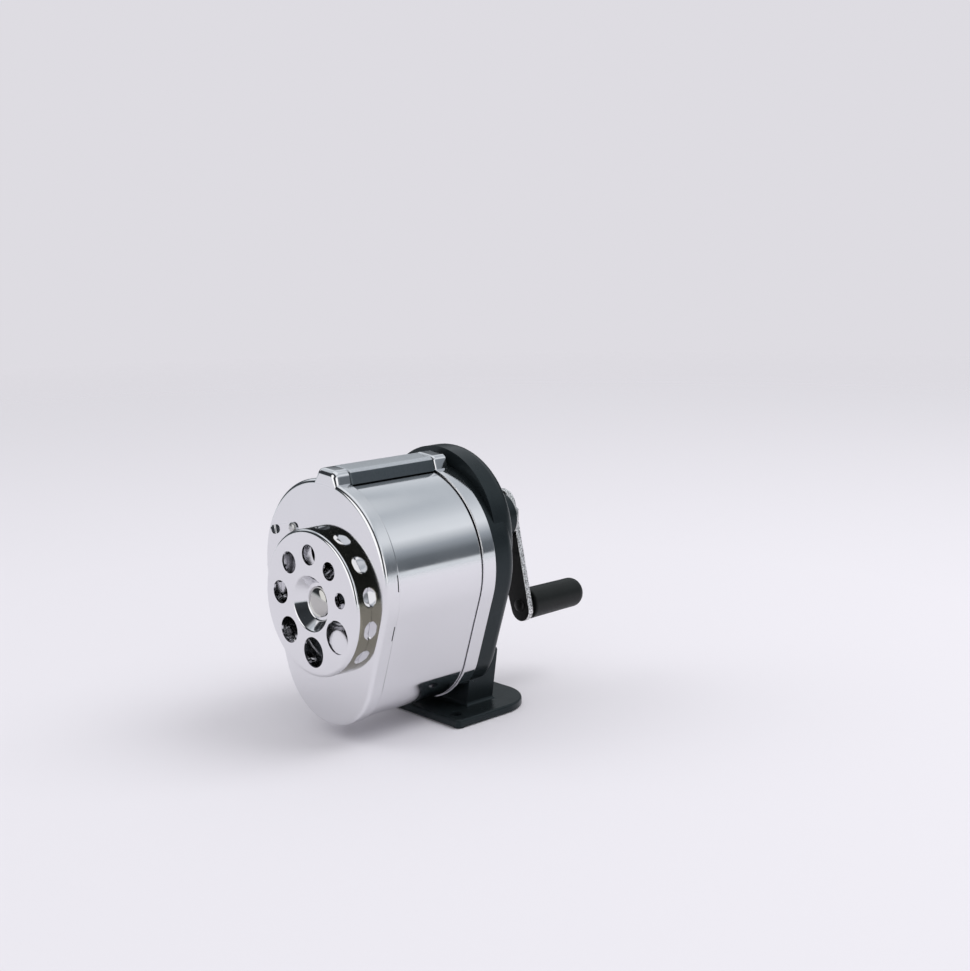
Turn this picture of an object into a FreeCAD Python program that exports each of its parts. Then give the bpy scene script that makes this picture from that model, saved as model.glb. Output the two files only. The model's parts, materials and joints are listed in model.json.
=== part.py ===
import FreeCAD, Part
import math
import os
import re
import Sketcher

# Crank pencil sharpener. The crank axis runs along Y with the dial at the -Y end, +X is to the right of
# someone facing the dial, and the origin is midway between the foot's front screws, on the surface below.

Vec = FreeCAD.Vector
doc = FreeCAD.newDocument("pencil_sharpener")
sheet = doc.addObject("Spreadsheet::Sheet", "Sizes")

# Driving dimensions in millimetres, degrees where the note says so
SIZES = {
    # stand
    "axis_height": (70.0, "crank axis above the surface"),
    "frame_setback": (8.1, "front plane of the frame behind the front screws"),
    "foot_front": (5.0, "front edge of the foot ahead of the front screws"),
    "foot_length": (42.9, "foot from front to rear"),
    "foot_width": (55.2, "foot across"),
    "foot_thickness": (2.8, "foot plate"),
    "foot_corner": (17.0, "rounding of the foot's rear corners"),
    "foot_front_corner": (1.5, "rounding of the foot's front corners"),
    "foot_edge": (0.9, "rounded top edge of the foot"),
    "pad_height": (0.6, "cast pads under the foot"),
    "pad_radius": (2.3, "cast pads under the foot"),
    "pad_inset": (2.9, "middle of a front pad from the foot's edges"),
    "pad_rear_inset": (7.0, "middle of a rear pad from the foot's edges"),
    "screw_spread": (41.4, "distance between the two front screws"),
    "screw_rear": (28.0, "rear screw behind the front screws"),
    "screw_hole": (2.2, "radius of a mounting hole"),
    "screw_pad": (3.4, "cast pad round a mounting hole"),
    "pedestal_base": (33.0, "width of the pedestal at the foot"),
    "pedestal_top": (41.4, "width of the pedestal at its upper end"),
    "pedestal_height": (25.0, "upper end of the pedestal above the foot"),
    "pedestal_front": (0.8, "front of the pedestal behind the frame's front plane"),
    "pedestal_depth": (13.4, "pedestal from front to rear"),
    "pedestal_round": (2.4, "rounded upper rear edge of the pedestal"),
    "pedestal_fillet": (1.4, "fillet where the pedestal meets the foot"),
    "frame_depth": (11.5, "egg-shaped dish from front to rear"),
    "frame_inset": (0.6, "dish outline inside the drum's outline"),
    "frame_edge": (4.5, "rounded rear edge of the dish"),
    "frame_wall": (2.6, "wall round the dish's front hollow"),
    "hollow_depth": (6.0, "front hollow of the dish"),
    "housing_radius": (32.0, "round gear housing"),
    "housing_start": (3.0, "front of the gear housing behind the frame's front plane"),
    "housing_depth": (14.5, "rear of the gear housing behind the frame's front plane"),
    "housing_edge": (5.0, "rounded rear edge of the gear housing"),
    "dome_radius": (24.0, "foot of the dome behind the housing"),
    "dome_length": (13.0, "dome from front to rear"),
    "boss_radius": (9.5, "bearing boss"),
    "boss_end": (36.2, "rear of the bearing boss behind the frame's front plane"),
    "seat_wall": (2.6, "wall round the ring gear's seat"),
    "carrier_room": (0.7, "room round the carrier disc inside the housing"),
    # drum, cap and band
    "drum_radius": (35.5, "upper radius of the egg outline"),
    "bottom_radius": (26.1, "lower radius of the egg outline"),
    "drum_clearance": (5.3, "lowest point of the drum above the surface"),
    "drum_drop": (9.0, "outline's upper centre below the crank axis"),
    "drum_length": (45.8, "face to the seam at the rear of the drum"),
    "sheet_wall": (0.8, "sheet of the drum and the cap"),
    "lip_depth": (6.5, "cap's lip over the drum"),
    "cap_edge": (1.5, "rounded front edge of the cap"),
    "slip": (0.05, "clearance between fitted sheets and pins"),
    "band_width": (6.2, "rear band"),
    "seam_gap": (0.3, "gap between the drum and the rear band"),
    "band_flange": (5.0, "inward flange of the band against the frame"),
    "spigot_length": (6.0, "spigot of the band inside the drum"),
    "spigot_slip": (0.15, "clearance of the drum on the spigot"),
    "ridge_base": (13.6, "top ridge across at its foot"),
    "ridge_top": (9.8, "top ridge across at its top"),
    "ridge_height": (4.0, "top ridge above the egg outline"),
    "ridge_turn": (5.0, "degrees, lean of the top ridge about the middle of the upper end"),
    "ridge_root": (4.0, "foot of the ridge below the top of the outline"),
    "cover_step": (0.5, "satin cover below the ridge's bright ends"),
    # dial
    "dial_radius": (27.0, "selector dial"),
    "dial_depth": (6.2, "front of the dial ahead of the face"),
    "dial_wall": (0.8, "sheet of the dial"),
    "dial_gap": (0.3, "rim of the dial from the face"),
    "dial_bead": (1.2, "rounded front edge of the dial"),
    "dial_pitch": (17.9, "pencil holes from the dial's pivot"),
    "dish_outer": (10.2, "mouth of the dished middle"),
    "dish_inner": (7.0, "floor of the dished middle"),
    "dish_depth": (4.2, "depth of the dished middle"),
    "flute_count": (14, "pressed flutes round the dial's rim"),
    "flute_radius": (6.0, "ball that presses a flute"),
    "flute_depth": (0.5, "depth of a flute at the rim's rear edge"),
    "flute_start": (12.4, "degrees, first flute from the right-hand side"),
    "hole_a": (5.8, "smallest pencil hole, diameter"),
    "hole_b": (6.8, "pencil hole, diameter"),
    "hole_c": (7.7, "pencil hole, diameter"),
    "hole_d": (8.2, "pencil hole, diameter"),
    "hole_e": (8.7, "pencil hole, diameter"),
    "hole_f": (9.9, "pencil hole, diameter"),
    "hole_g": (11.3, "pencil hole, diameter"),
    "hole_i": (12.3, "largest pencil hole, diameter"),
    "rivet_radius": (2.6, "shank of the dial rivet"),
    "rivet_head": (5.7, "head of the dial rivet"),
    "rivet_dome": (1.7, "height of the dial rivet's head"),
    "rivet_tail": (1.0, "upset end of the dial rivet inside the cap"),
    "rivet_gap": (0.3, "head of the dial rivet from the dial"),
    "washer_height": (0.5, "coned spring washer under the dial"),
    "washer_sheet": (0.35, "sheet of the spring washer"),
    "washer_rim": (5.0, "outer radius of the spacer and its washer"),
    "pencil_bore": (6.6, "radius of the pencil's way through the cap and guide"),
    "guide_wall": (0.9, "wall of the pencil guide"),
    "guide_flange": (10.0, "flange radius of the pencil guide"),
    "guide_length": (14.0, "pencil guide behind the cap"),
    "spring_angle": (124.5, "degrees, place of the index spring's rivet round the dial"),
    "spring_reach": (29.8, "index spring's rivet from the dial's middle"),
    "spring_way": (191.0, "degrees, way of the index spring from its rivet to its finger tab"),
    "spring_sheet": (0.5, "sheet of the index spring"),
    "spring_rise": (3.8, "height of the index spring's finger tab"),
    "spring_foot": (11.3, "index spring's rivet to the back of its finger tab"),
    "spring_width": (4.0, "width of the index spring"),
    "spring_end": (2.4, "index spring beyond its rivet"),
    "spring_round": (1.8, "rounded corners of the index spring's two ends"),
    "index_rivet_radius": (1.2, "rivet of the index spring"),
    "index_rivet_head": (2.0, "heads of the index spring's rivet"),
    "index_rivet_rise": (0.9, "height of a head of the index spring's rivet"),
    # cutters and gears
    "cutter_tilt": (11.0, "degrees between a cutter and the crank axis"),
    "cutter_offset": (8.5, "cutter axis from the crank axis at the middle of the gears"),
    "cutter_radius": (8.0, "tips of the cutter's teeth"),
    "cutter_root": (6.9, "roots of the cutter's teeth"),
    "cutter_length": (29.0, "toothed length of a cutter"),
    "cutter_teeth": (14, "teeth round a cutter"),
    "cutter_twist": (110.0, "degrees of twist of the teeth over a cutter's length"),
    "cutter_end": (5.2, "rear end of a cutter ahead of the middle of its pinion"),
    "pin_radius": (2.0, "cutter pin"),
    "pin_fit": (0.05, "running fit of a cutter on its pin"),
    "gear_middle": (4.9, "middle of the gears behind the frame's front plane"),
    "gear_width": (5.4, "ring gear from front to rear"),
    "pinion_width": (4.8, "toothed length of a pinion"),
    "pinion_neck": (4.6, "neck of a pinion"),
    "ring_teeth": (27, "teeth of the ring gear"),
    "pinion_teeth": (12, "teeth of a pinion"),
    "tooth_play": (0.2, "backlash between the gears along the pitch circle"),
    "ring_radius": (24.0, "outside of the ring gear"),
    "ring_slip": (0.1, "clearance of the ring gear in its seat"),
    "ring_screw_circle": (21.2, "circle of the ring gear's screws"),
    "ring_screw_radius": (1.0, "shank of a ring gear screw"),
    "ring_screw_head": (1.9, "head of a ring gear screw"),
    "ring_screw_rise": (1.1, "height of a ring gear screw's head"),
    "ring_screw_length": (5.0, "ring gear screw in the frame"),
    "disc_radius": (15.5, "rear disc of the carrier"),
    "disc_gap": (0.4, "rear disc of the carrier behind the pinions"),
    "disc_thickness": (3.6, "rear disc of the carrier"),
    "nose_radius": (20.0, "nose ring of the carrier"),
    "nose_bore": (7.4, "pencil's way through the nose ring"),
    "nose_thickness": (4.0, "nose ring of the carrier"),
    "nose_gap": (2.2, "nose ring from the cutters' front ends"),
    "nose_chamfer": (1.5, "sloped outer edge of the nose ring"),
    "nose_lead": (1.0, "sloped mouth of the nose ring"),
    "web_inner": (9.0, "inner side of the carrier's webs from the axis"),
    "web_outer": (11.8, "outer side of the carrier's webs from the axis"),
    "web_width": (8.0, "carrier's webs across"),
    # shaft and crank
    "shaft_radius": (4.0, "drive shaft in its bush"),
    "shaft_fit": (0.04, "running fit of the shaft"),
    "shaft_neck": (3.2, "shaft through the crank arm"),
    "shaft_tail": (1.0, "shaft beyond the crank nut"),
    "bush_wall": (2.0, "wall of the shaft bush"),
    "bush_flange": (8.0, "flange radius of the shaft bush"),
    "bush_flange_height": (1.0, "flange of the shaft bush"),
    "bush_gap": (0.4, "flange of the bush from the carrier disc"),
    "thrust_height": (0.6, "thrust washer between boss and crank arm"),
    "thrust_gap": (0.2, "thrust washer from the boss"),
    "arm_thickness": (2.5, "crank arm"),
    "arm_eye": (6.9, "round end of the crank arm at the shaft"),
    "arm_heel": (3.8, "middle of the arm's round end beyond the shaft"),
    "arm_tip": (6.5, "round end of the crank arm at the knob"),
    "crank_radius": (36.5, "knob's axis from the crank axis"),
    "crank_hang": (15.0, "degrees, crank arm at rest from straight down"),
    "crank_washer_radius": (6.2, "washer under the crank nut"),
    "crank_washer_height": (0.8, "washer under the crank nut"),
    "nut_radius": (5.6, "crank nut across its corners, radius"),
    "nut_height": (4.0, "crank nut"),
    "knob_pin_radius": (2.2, "knob pin"),
    "knob_pin_head": (3.9, "riveted head of the knob pin"),
    "knob_pin_dome": (1.3, "height of the knob pin's head"),
    "knob_pin_collar": (4.4, "collar of the knob pin against the arm"),
    "knob_pin_collar_height": (1.0, "collar of the knob pin against the arm"),
    "knob_pin_length": (22.0, "knob pin inside the knob"),
    "knob_fit": (0.08, "running fit of the knob on its pin"),
    "knob_gap": (0.3, "knob from the pin's collar"),
    "knob_root": (5.5, "knob's radius at the arm"),
    "knob_swell": (5.9, "knob's largest radius"),
    "knob_taper": (21.0, "tapered length of the knob"),
    "knob_length": (29.5, "knob from end to end"),
    "knob_round": (4.5, "rounded end of the knob"),
    "overrun": (1.0, "length that a cut runs past a face"),
}
for row, (alias, (value, note)) in enumerate(SIZES.items(), start=1):
    sheet.set("A%d" % row, alias)
    sheet.set("B%d" % row, str(value))
    sheet.set("C%d" % row, note)
    sheet.setAlias("B%d" % row, alias)
doc.recompute()

# Places along the crank axis, as formulas of the driving dimensions
FRAME_Y = "frame_setback"
FACE_Y = "frame_setback - band_width - seam_gap - drum_length"
SEAM_Y = "frame_setback - band_width - seam_gap"
ARM_Y = "boss_end + thrust_gap + thrust_height"
DISC_Y = "gear_middle + pinion_width / 2 * cos(cutter_tilt) + cutter_radius * sin(cutter_tilt) + disc_gap"
ROOM_Y = DISC_Y + " + disc_thickness + bush_gap + bush_flange_height"
NOSE_Y = ("gear_middle - (cutter_end + cutter_length) * cos(cutter_tilt)"
          " - cutter_radius * sin(cutter_tilt) - nose_gap")
FOOT_Z = "-axis_height + pad_height"
DRUM_SPREAD = "axis_height - drum_drop - bottom_radius - drum_clearance"

# Place of the index spring's rivet on the face, from the dial's middle
SPRING_X = "spring_reach * cos(spring_angle)"
SPRING_Z = "spring_reach * sin(spring_angle)"

# Shares that shape the domed heads of rivets: flat crown of the radius, upright rim of the height
DOME_CROWN = 0.6
DOME_RIM = 0.35

nodes = {}


def size(alias):
    """Current value of a driving dimension."""
    return float(sheet.get(alias))


def bound(formula):
    """Formula with every driving dimension pointed at the sheet."""
    return re.sub(r"[a-z][a-z_]*", lambda m: "Sizes." + m[0] if m[0] in SIZES else m[0], formula)


def place(thing, at, turn=None, axis=Vec(0, 1, 0)):
    """Bind a thing's position, and its turn about an axis, to the sheet."""
    if turn:
        thing.Placement = FreeCAD.Placement(Vec(), FreeCAD.Rotation(axis, 1))
        thing.setExpression("Placement.Rotation.Angle", bound(turn))
    for letter, formula in zip("xyz", at):
        thing.setExpression("Placement.Base." + letter, bound(formula))


def new_body(label, at, turn=None):
    """Empty body with its own place."""
    body = doc.addObject("PartDesign::Body", label)
    body.Label = label
    place(body, at, turn)
    return body


def origin_part(body, role):
    """Plane or axis of the body's own origin."""
    return next(f for f in body.Origin.OriginFeatures if f.Role == role)


def new_sketch(body, name, role, offset="0"):
    """Sketch on one of the body's own planes. An XZ sketch is moved along +Y, an XY sketch along +Z."""
    sketch = body.newObject("Sketcher::SketchObject", body.Label + "_" + name)
    sketch.AttachmentSupport = [(origin_part(body, role), "")]
    sketch.MapMode = "FlatFace"
    sign = "-" if role == "XZ_Plane" else ""
    sketch.setExpression("AttachmentOffset.Base.z", bound("%s(%s)" % (sign, offset)))
    return sketch


def pin_point(sketch, geometry, point, x, y):
    """Hold a point of the sketch at two formulas."""
    for kind, formula in (("DistanceX", x), ("DistanceY", y)):
        index = sketch.addConstraint(Sketcher.Constraint(kind, -1, 1, geometry, point, 1.0))
        sketch.setExpression("Constraints[%d]" % index, bound(formula))


def set_radius(sketch, geometry, formula):
    """Hold the radius of an arc or circle at a formula."""
    index = sketch.addConstraint(Sketcher.Constraint("Radius", geometry, 1.0))
    sketch.setExpression("Constraints[%d]" % index, bound(formula))


def draw_polygon(sketch, corners):
    """Closed outline through corners given as pairs of formulas."""
    count = len(corners)
    start = sketch.GeometryCount
    turns = [2 * math.pi * i / count for i in range(count)]
    ring = [Vec(math.cos(turn), math.sin(turn), 0) for turn in turns]
    for i in range(count):
        sketch.addGeometry(Part.LineSegment(ring[i], ring[(i + 1) % count]))
    for i in range(count):
        sketch.addConstraint(Sketcher.Constraint("Coincident", start + i, 2, start + (i + 1) % count, 1))
    for i, (x, y) in enumerate(corners):
        pin_point(sketch, start + i, 1, x, y)


def draw_circle(sketch, x, y, radius):
    """Circle with its middle and radius held at formulas."""
    geometry = sketch.addGeometry(Part.Circle(Vec(0, 0, 0), Vec(0, 0, 1), 1.0))
    set_radius(sketch, geometry, radius)
    pin_point(sketch, geometry, 3, x, y)


def draw_teardrop(sketch, upper, lower, top, spread, apart, inset="0"):
    """Outline of two round ends joined by tangent lines, upright, with the upper middle at height top.

    The distance between the middles is a formula, and also a number that the sketch starts from."""
    high, low = size(upper), size(lower)
    lean = math.asin((high - low) / apart)
    up, down = Vec(0, 0, 0), Vec(0, -apart, 0)
    side = math.pi + lean
    sketch.addGeometry(Part.ArcOfCircle(Part.Circle(up, Vec(0, 0, 1), high), -lean, side))
    sketch.addGeometry(Part.ArcOfCircle(Part.Circle(down, Vec(0, 0, 1), low), side, 2 * math.pi - lean))
    for sign in (-1, 1):
        out = Vec(sign * math.cos(lean), -math.sin(lean), 0)
        sketch.addGeometry(Part.LineSegment(up + out * high, down + out * low))
    for first, first_end, second, second_end in ((0, 2, 2, 1), (2, 2, 1, 1), (1, 2, 3, 2), (3, 1, 0, 1)):
        sketch.addConstraint(Sketcher.Constraint("Tangent", first, first_end, second, second_end))
    set_radius(sketch, 0, "%s - (%s)" % (upper, inset))
    set_radius(sketch, 1, "%s - (%s)" % (lower, inset))
    pin_point(sketch, 0, 3, "0", top)
    pin_point(sketch, 1, 3, "0", "%s - (%s)" % (top, spread))


def draw_egg(sketch, inset="0"):
    """Egg outline of the drum, drawn inwards by an inset."""
    apart = size("axis_height") - size("drum_drop") - size("bottom_radius") - size("drum_clearance")
    draw_teardrop(sketch, "drum_radius", "bottom_radius", "-drum_drop", DRUM_SPREAD, apart, inset)


def draw_ridge(sketch, step="0", root="0"):
    """Outline of the leaning top ridge, drawn inwards by a step and with its foot lowered by a root."""
    foot = "(drum_radius - ridge_root - (%s))" % root
    crest = "(drum_radius + ridge_height - (%s))" % step
    wide = "(ridge_base / 2 - (%s))" % step
    narrow = "(ridge_top / 2 - (%s))" % step
    corners = [("(-1) * " + wide, foot), (wide, foot), (narrow, crest), ("(-1) * " + narrow, crest)]
    draw_polygon(sketch, [
        ("%s * cos(ridge_turn) + %s * sin(ridge_turn)" % (aside, away),
         "%s * cos(ridge_turn) - (%s) * sin(ridge_turn) - drum_drop" % (away, aside))
        for aside, away in corners])


def add_pad(body, name, sketch, length, back=True):
    """Grow a sketch into the body, towards +Y from an XZ sketch or +Z from an XY sketch."""
    pad = body.newObject("PartDesign::Pad", body.Label + "_" + name)
    pad.Profile = sketch
    pad.Reversed = back
    pad.setExpression("Length", bound(length))
    doc.recompute()
    return pad


def add_pocket(body, name, sketch, length, up=False):
    """Cut a sketch out of the body, towards +Y from an XZ sketch or +Z from an XY sketch."""
    before = body.Shape.Volume
    pocket = body.newObject("PartDesign::Pocket", body.Label + "_" + name)
    pocket.Profile = sketch
    pocket.Reversed = up
    pocket.setExpression("Length", bound(length))
    doc.recompute()
    if body.Shape.Volume >= before:
        raise RuntimeError("%s cuts nothing" % pocket.Name)
    return pocket


def add_turning(body, name, corners):
    """Turn an outline of radius and place along the axis about the body's Y axis."""
    sketch = new_sketch(body, name + "_outline", "XY_Plane")
    draw_polygon(sketch, corners)
    turning = body.newObject("PartDesign::Revolution", body.Label + "_" + name)
    turning.Profile = sketch
    turning.ReferenceAxis = (sketch, ["V_Axis"])
    turning.Angle = 360
    doc.recompute()
    return turning


def domed_head(radius, height, seat):
    """Corners of a domed head that points to -Y, from its crown to the edge of its seat."""
    return [("0", "%s - %s" % (seat, height)), ("%s * %g" % (radius, DOME_CROWN), "%s - %s" % (seat, height)),
            (radius, "%s - %s * %g" % (seat, height, DOME_RIM)), (radius, seat)]


def round_edges(body, name, radius, wanted):
    """Round the edges of the body that a test picks."""
    base = body.Tip
    names = ["Edge%d" % (i + 1) for i, edge in enumerate(base.Shape.Edges) if wanted(edge)]
    if not names:
        raise RuntimeError("no edge to round for %s of %s" % (name, body.Label))
    fillet = body.newObject("PartDesign::Fillet", body.Label + "_" + name)
    fillet.Base = (base, names)
    fillet.setExpression("Radius", bound(radius))
    doc.recompute()
    return fillet


def lies_at(edge, letter, value):
    """Whether all of an edge lies in the plane where a coordinate has a value."""
    box = edge.BoundBox
    low, high = getattr(box, letter + "Min"), getattr(box, letter + "Max")
    return abs(low - value) < 1e-4 and abs(high - value) < 1e-4


def keep(label, thing):
    """File a finished sub-part under its node's name."""
    thing.Label = label
    nodes[label] = thing


def new_feature(label, shape, at, turn=None, axis=Vec(0, 1, 0)):
    """Sub-part whose shape is worked out in code, with its own place."""
    feature = doc.addObject("Part::Feature", label)
    feature.Shape = shape
    place(feature, at, turn, axis)
    keep(label, feature)
    return feature


# Stand
def make_stand():
    """Casting of foot, pedestal, egg-shaped dish, gear housing, dome and bearing boss."""
    body = new_body("stand_casting", ("0", FRAME_Y, "axis_height"))
    dish = new_sketch(body, "dish", "XZ_Plane")
    draw_egg(dish, "frame_inset")
    add_pad(body, "dish_pad", dish, "frame_depth")
    round_edges(body, "dish_round", "frame_edge", lambda e: lies_at(e, "Y", size("frame_depth")))

    pedestal = new_sketch(body, "pedestal", "XZ_Plane", "pedestal_front")
    pedestal_z = FOOT_Z + " + pedestal_height"
    draw_polygon(pedestal, [
        ("-pedestal_base / 2", FOOT_Z), ("pedestal_base / 2", FOOT_Z),
        ("pedestal_top / 2", pedestal_z), ("-pedestal_top / 2", pedestal_z)])
    add_pad(body, "pedestal_pad", pedestal, "pedestal_depth")
    pedestal_rear = size("pedestal_front") + size("pedestal_depth")
    round_edges(body, "pedestal_rounding", "pedestal_round", lambda e: lies_at(e, "Y", pedestal_rear)
                and e.BoundBox.XLength > size("pedestal_base"))

    foot = new_sketch(body, "foot", "XY_Plane", FOOT_Z)
    front = "-frame_setback - foot_front"
    rear = front + " + foot_length"
    draw_polygon(foot, [("-foot_width / 2", front), ("foot_width / 2", front),
                        ("foot_width / 2", rear), ("-foot_width / 2", rear)])
    add_pad(body, "foot_pad", foot, "foot_thickness", back=False)
    half = size("foot_width") / 2
    front_y = -size("frame_setback") - size("foot_front")
    rear_y = front_y + size("foot_length")
    for radius, end in (("foot_front_corner", front_y), ("foot_corner", rear_y)):
        round_edges(body, radius + "s", radius, lambda e: lies_at(e, "Y", end) and (
            lies_at(e, "X", half) or lies_at(e, "X", -half)))
    foot_top = size("pad_height") + size("foot_thickness") - size("axis_height")

    def at_outline(edge):
        """Whether an edge of the foot's top runs along the foot's outline."""
        box = edge.BoundBox
        return (lies_at(edge, "Y", front_y) or lies_at(edge, "Y", rear_y)
                or max(box.XMax, -box.XMin) > half - 1e-4)

    round_edges(body, "pedestal_fillets", "pedestal_fillet", lambda e: lies_at(e, "Z", foot_top)
                and not at_outline(e))
    round_edges(body, "foot_round", "foot_edge", lambda e: lies_at(e, "Z", foot_top) and at_outline(e))

    screws = [(x, y + " - frame_setback") for x, y in (
        ("-screw_spread / 2", "0"), ("screw_spread / 2", "0"), ("0", "screw_rear"))]
    screw_pads = new_sketch(body, "screw_pads", "XY_Plane", "-axis_height")
    for x, y in screws:
        draw_circle(screw_pads, x, y, "screw_pad")
    add_pad(body, "screw_pads_pad", screw_pads, "pad_height", back=False)
    corner_pads = new_sketch(body, "corner_pads", "XY_Plane", "-axis_height")
    for inset, y in (("pad_inset", front + " + pad_inset"), ("pad_rear_inset", rear + " - pad_rear_inset")):
        for sign in ("-", ""):
            draw_circle(corner_pads, "%s(foot_width / 2 - %s)" % (sign, inset), y, "pad_radius")
    add_pad(body, "corner_pads_pad", corner_pads, "pad_height", back=False)

    housing = new_sketch(body, "housing", "XZ_Plane", "housing_start")
    draw_circle(housing, "0", "0", "housing_radius")
    add_pad(body, "housing_pad", housing, "housing_depth - housing_start")
    round_edges(body, "housing_round", "housing_edge", lambda e: lies_at(e, "Y", size("housing_depth")))
    add_turning(body, "dome", [
        ("0", "housing_start"), ("dome_radius", "housing_start"), ("dome_radius", "housing_depth"),
        ("boss_radius", "housing_depth + dome_length"), ("boss_radius", "boss_end"), ("0", "boss_end")])

    holes = new_sketch(body, "screw_holes", "XY_Plane", "-axis_height")
    for x, y in screws:
        draw_circle(holes, x, y, "screw_hole")
    add_pocket(body, "screw_holes_cut", holes, "pad_height + foot_thickness + foot_thickness", up=True)

    seat = new_body("gear_seat", ("0", FRAME_Y, "axis_height"))
    gear_rear = "gear_middle + gear_width / 2"
    room = "disc_radius + carrier_room"
    bush = "shaft_radius + shaft_fit + bush_wall"
    add_turning(seat, "seat", [
        ("0", "-overrun"), ("ring_radius + ring_slip", "-overrun"), ("ring_radius + ring_slip", gear_rear),
        (room, gear_rear), (room, ROOM_Y), (bush, ROOM_Y), (bush, "boss_end + overrun"),
        ("0", "boss_end + overrun")])

    hollow = new_body("dish_hollow", ("0", FRAME_Y, "axis_height"))
    inside = new_sketch(hollow, "inside", "XZ_Plane", "-overrun")
    draw_egg(inside, "frame_inset + frame_wall")
    add_pad(hollow, "inside_pad", inside, "hollow_depth + overrun")
    wall = doc.addObject("Part::Cylinder", "seat_wall")
    wall.setExpression("Radius", bound("ring_radius + ring_slip + seat_wall"))
    wall.setExpression("Height", bound("2 * housing_depth"))
    wall.Placement = FreeCAD.Placement(Vec(), FreeCAD.Rotation(Vec(1, 0, 0), -90))
    place(wall, ("0", FRAME_Y + " - housing_depth", "axis_height"))
    lower_hollow = doc.addObject("Part::Cut", "lower_hollow")
    lower_hollow.Base = hollow
    lower_hollow.Tool = wall
    cuts = doc.addObject("Part::Fuse", "stand_cuts")
    cuts.Base = seat
    cuts.Tool = lower_hollow
    bored = doc.addObject("Part::Cut", "stand_bored")
    bored.Base = body
    bored.Tool = cuts
    stand = doc.addObject("Part::Cut", "stand")
    stand.Base = bored
    stand.Tool = make_ring_screw_holes()
    keep("stand", stand)


def make_ring_screw_holes():
    """Holes for the ring gear's screws, as one cutting shape."""
    drill = doc.addObject("Part::Feature", "ring_screw_drill")
    length = size("ring_screw_length") + size("gear_width")
    holes = [Part.makeCylinder(size("ring_screw_radius") + size("slip"), length, point, Vec(0, 1, 0))
             for point in ring_screw_points()]
    drill.Shape = holes[0].multiFuse(holes[1:])
    place(drill, ("0", FRAME_Y, "axis_height"))
    return drill


def ring_screw_points():
    """Front ends of the ring gear's screws, from the frame's front plane on the crank axis."""
    front = size("gear_middle") - size("gear_width") / 2
    circle = size("ring_screw_circle")
    angles = [math.radians(angle) for angle in (30, 150, 270)]
    return [Vec(circle * math.cos(a), front, circle * math.sin(a)) for a in angles]


def make_bush():
    """Flanged bush of the drive shaft."""
    body = new_body("shaft_bush", ("0", FRAME_Y, "axis_height"))
    inner = "shaft_radius + shaft_fit"
    outer = inner + " + bush_wall - slip"
    add_turning(body, "bush", [
        (inner, ROOM_Y + " - bush_flange_height"), ("bush_flange", ROOM_Y + " - bush_flange_height"),
        ("bush_flange", ROOM_Y), (outer, ROOM_Y), (outer, "boss_end"), (inner, "boss_end")])
    keep("shaft_bush", body)


# Drum, cap and band
def make_front_cap():
    """Face with a lip over the drum, a piece of the ridge, and holes for the pencil and rivets."""
    body = new_body("front_cap", ("0", FACE_Y, "axis_height"))
    egg = new_sketch(body, "egg", "XZ_Plane")
    draw_egg(egg)
    add_pad(body, "egg_pad", egg, "lip_depth")
    ridge = new_sketch(body, "ridge", "XZ_Plane")
    draw_ridge(ridge)
    add_pad(body, "ridge_pad", ridge, "lip_depth")
    round_edges(body, "face_round", "cap_edge", lambda e: lies_at(e, "Y", 0))
    inside = new_sketch(body, "inside", "XZ_Plane", "sheet_wall")
    draw_egg(inside, "sheet_wall")
    add_pocket(body, "inside_cut", inside, "lip_depth")
    under = new_sketch(body, "under_ridge", "XZ_Plane", "sheet_wall + cap_edge")
    draw_ridge(under, "sheet_wall")
    add_pocket(body, "under_ridge_cut", under, "lip_depth")
    holes = new_sketch(body, "holes", "XZ_Plane", "-overrun")
    draw_circle(holes, "0", "0", "pencil_bore")
    draw_circle(holes, "0", "-dial_pitch", "rivet_radius + slip")
    add_pocket(body, "holes_cut", holes, "sheet_wall + 2 * overrun")
    rivet_hole = new_sketch(body, "index_hole", "XZ_Plane", "-overrun")
    draw_circle(rivet_hole, SPRING_X, SPRING_Z + " - dial_pitch", "index_rivet_radius + slip")
    add_pocket(body, "index_hole_cut", rivet_hole, "sheet_wall + 2 * overrun")
    keep("front_cap", body)


def make_drum_shell():
    """Egg-shaped tube, open at both ends."""
    body = new_body("drum_shell", ("0", FACE_Y, "axis_height"))
    egg = new_sketch(body, "egg", "XZ_Plane", "sheet_wall")
    draw_egg(egg, "sheet_wall + slip")
    add_pad(body, "egg_pad", egg, "drum_length - sheet_wall")
    inside = new_sketch(body, "inside", "XZ_Plane")
    draw_egg(inside, "2 * sheet_wall + slip")
    add_pocket(body, "inside_cut", inside, "drum_length + overrun")
    keep("drum_shell", body)


def make_ridge_cover():
    """Satin strip on top of the drum, between the cap's lip and the seam, hollowed over the drum."""
    body = new_body("ridge_cover", ("0", FACE_Y, "axis_height"))
    start = "lip_depth + slip"
    ridge = new_sketch(body, "ridge", "XZ_Plane", start)
    draw_ridge(ridge, "cover_step")
    add_pad(body, "ridge_pad", ridge, "drum_length - lip_depth - slip")
    seat = new_sketch(body, "seat", "XZ_Plane")
    draw_egg(seat, "sheet_wall")
    add_pocket(body, "seat_cut", seat, "drum_length + overrun")
    keep("ridge_cover", body)


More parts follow.
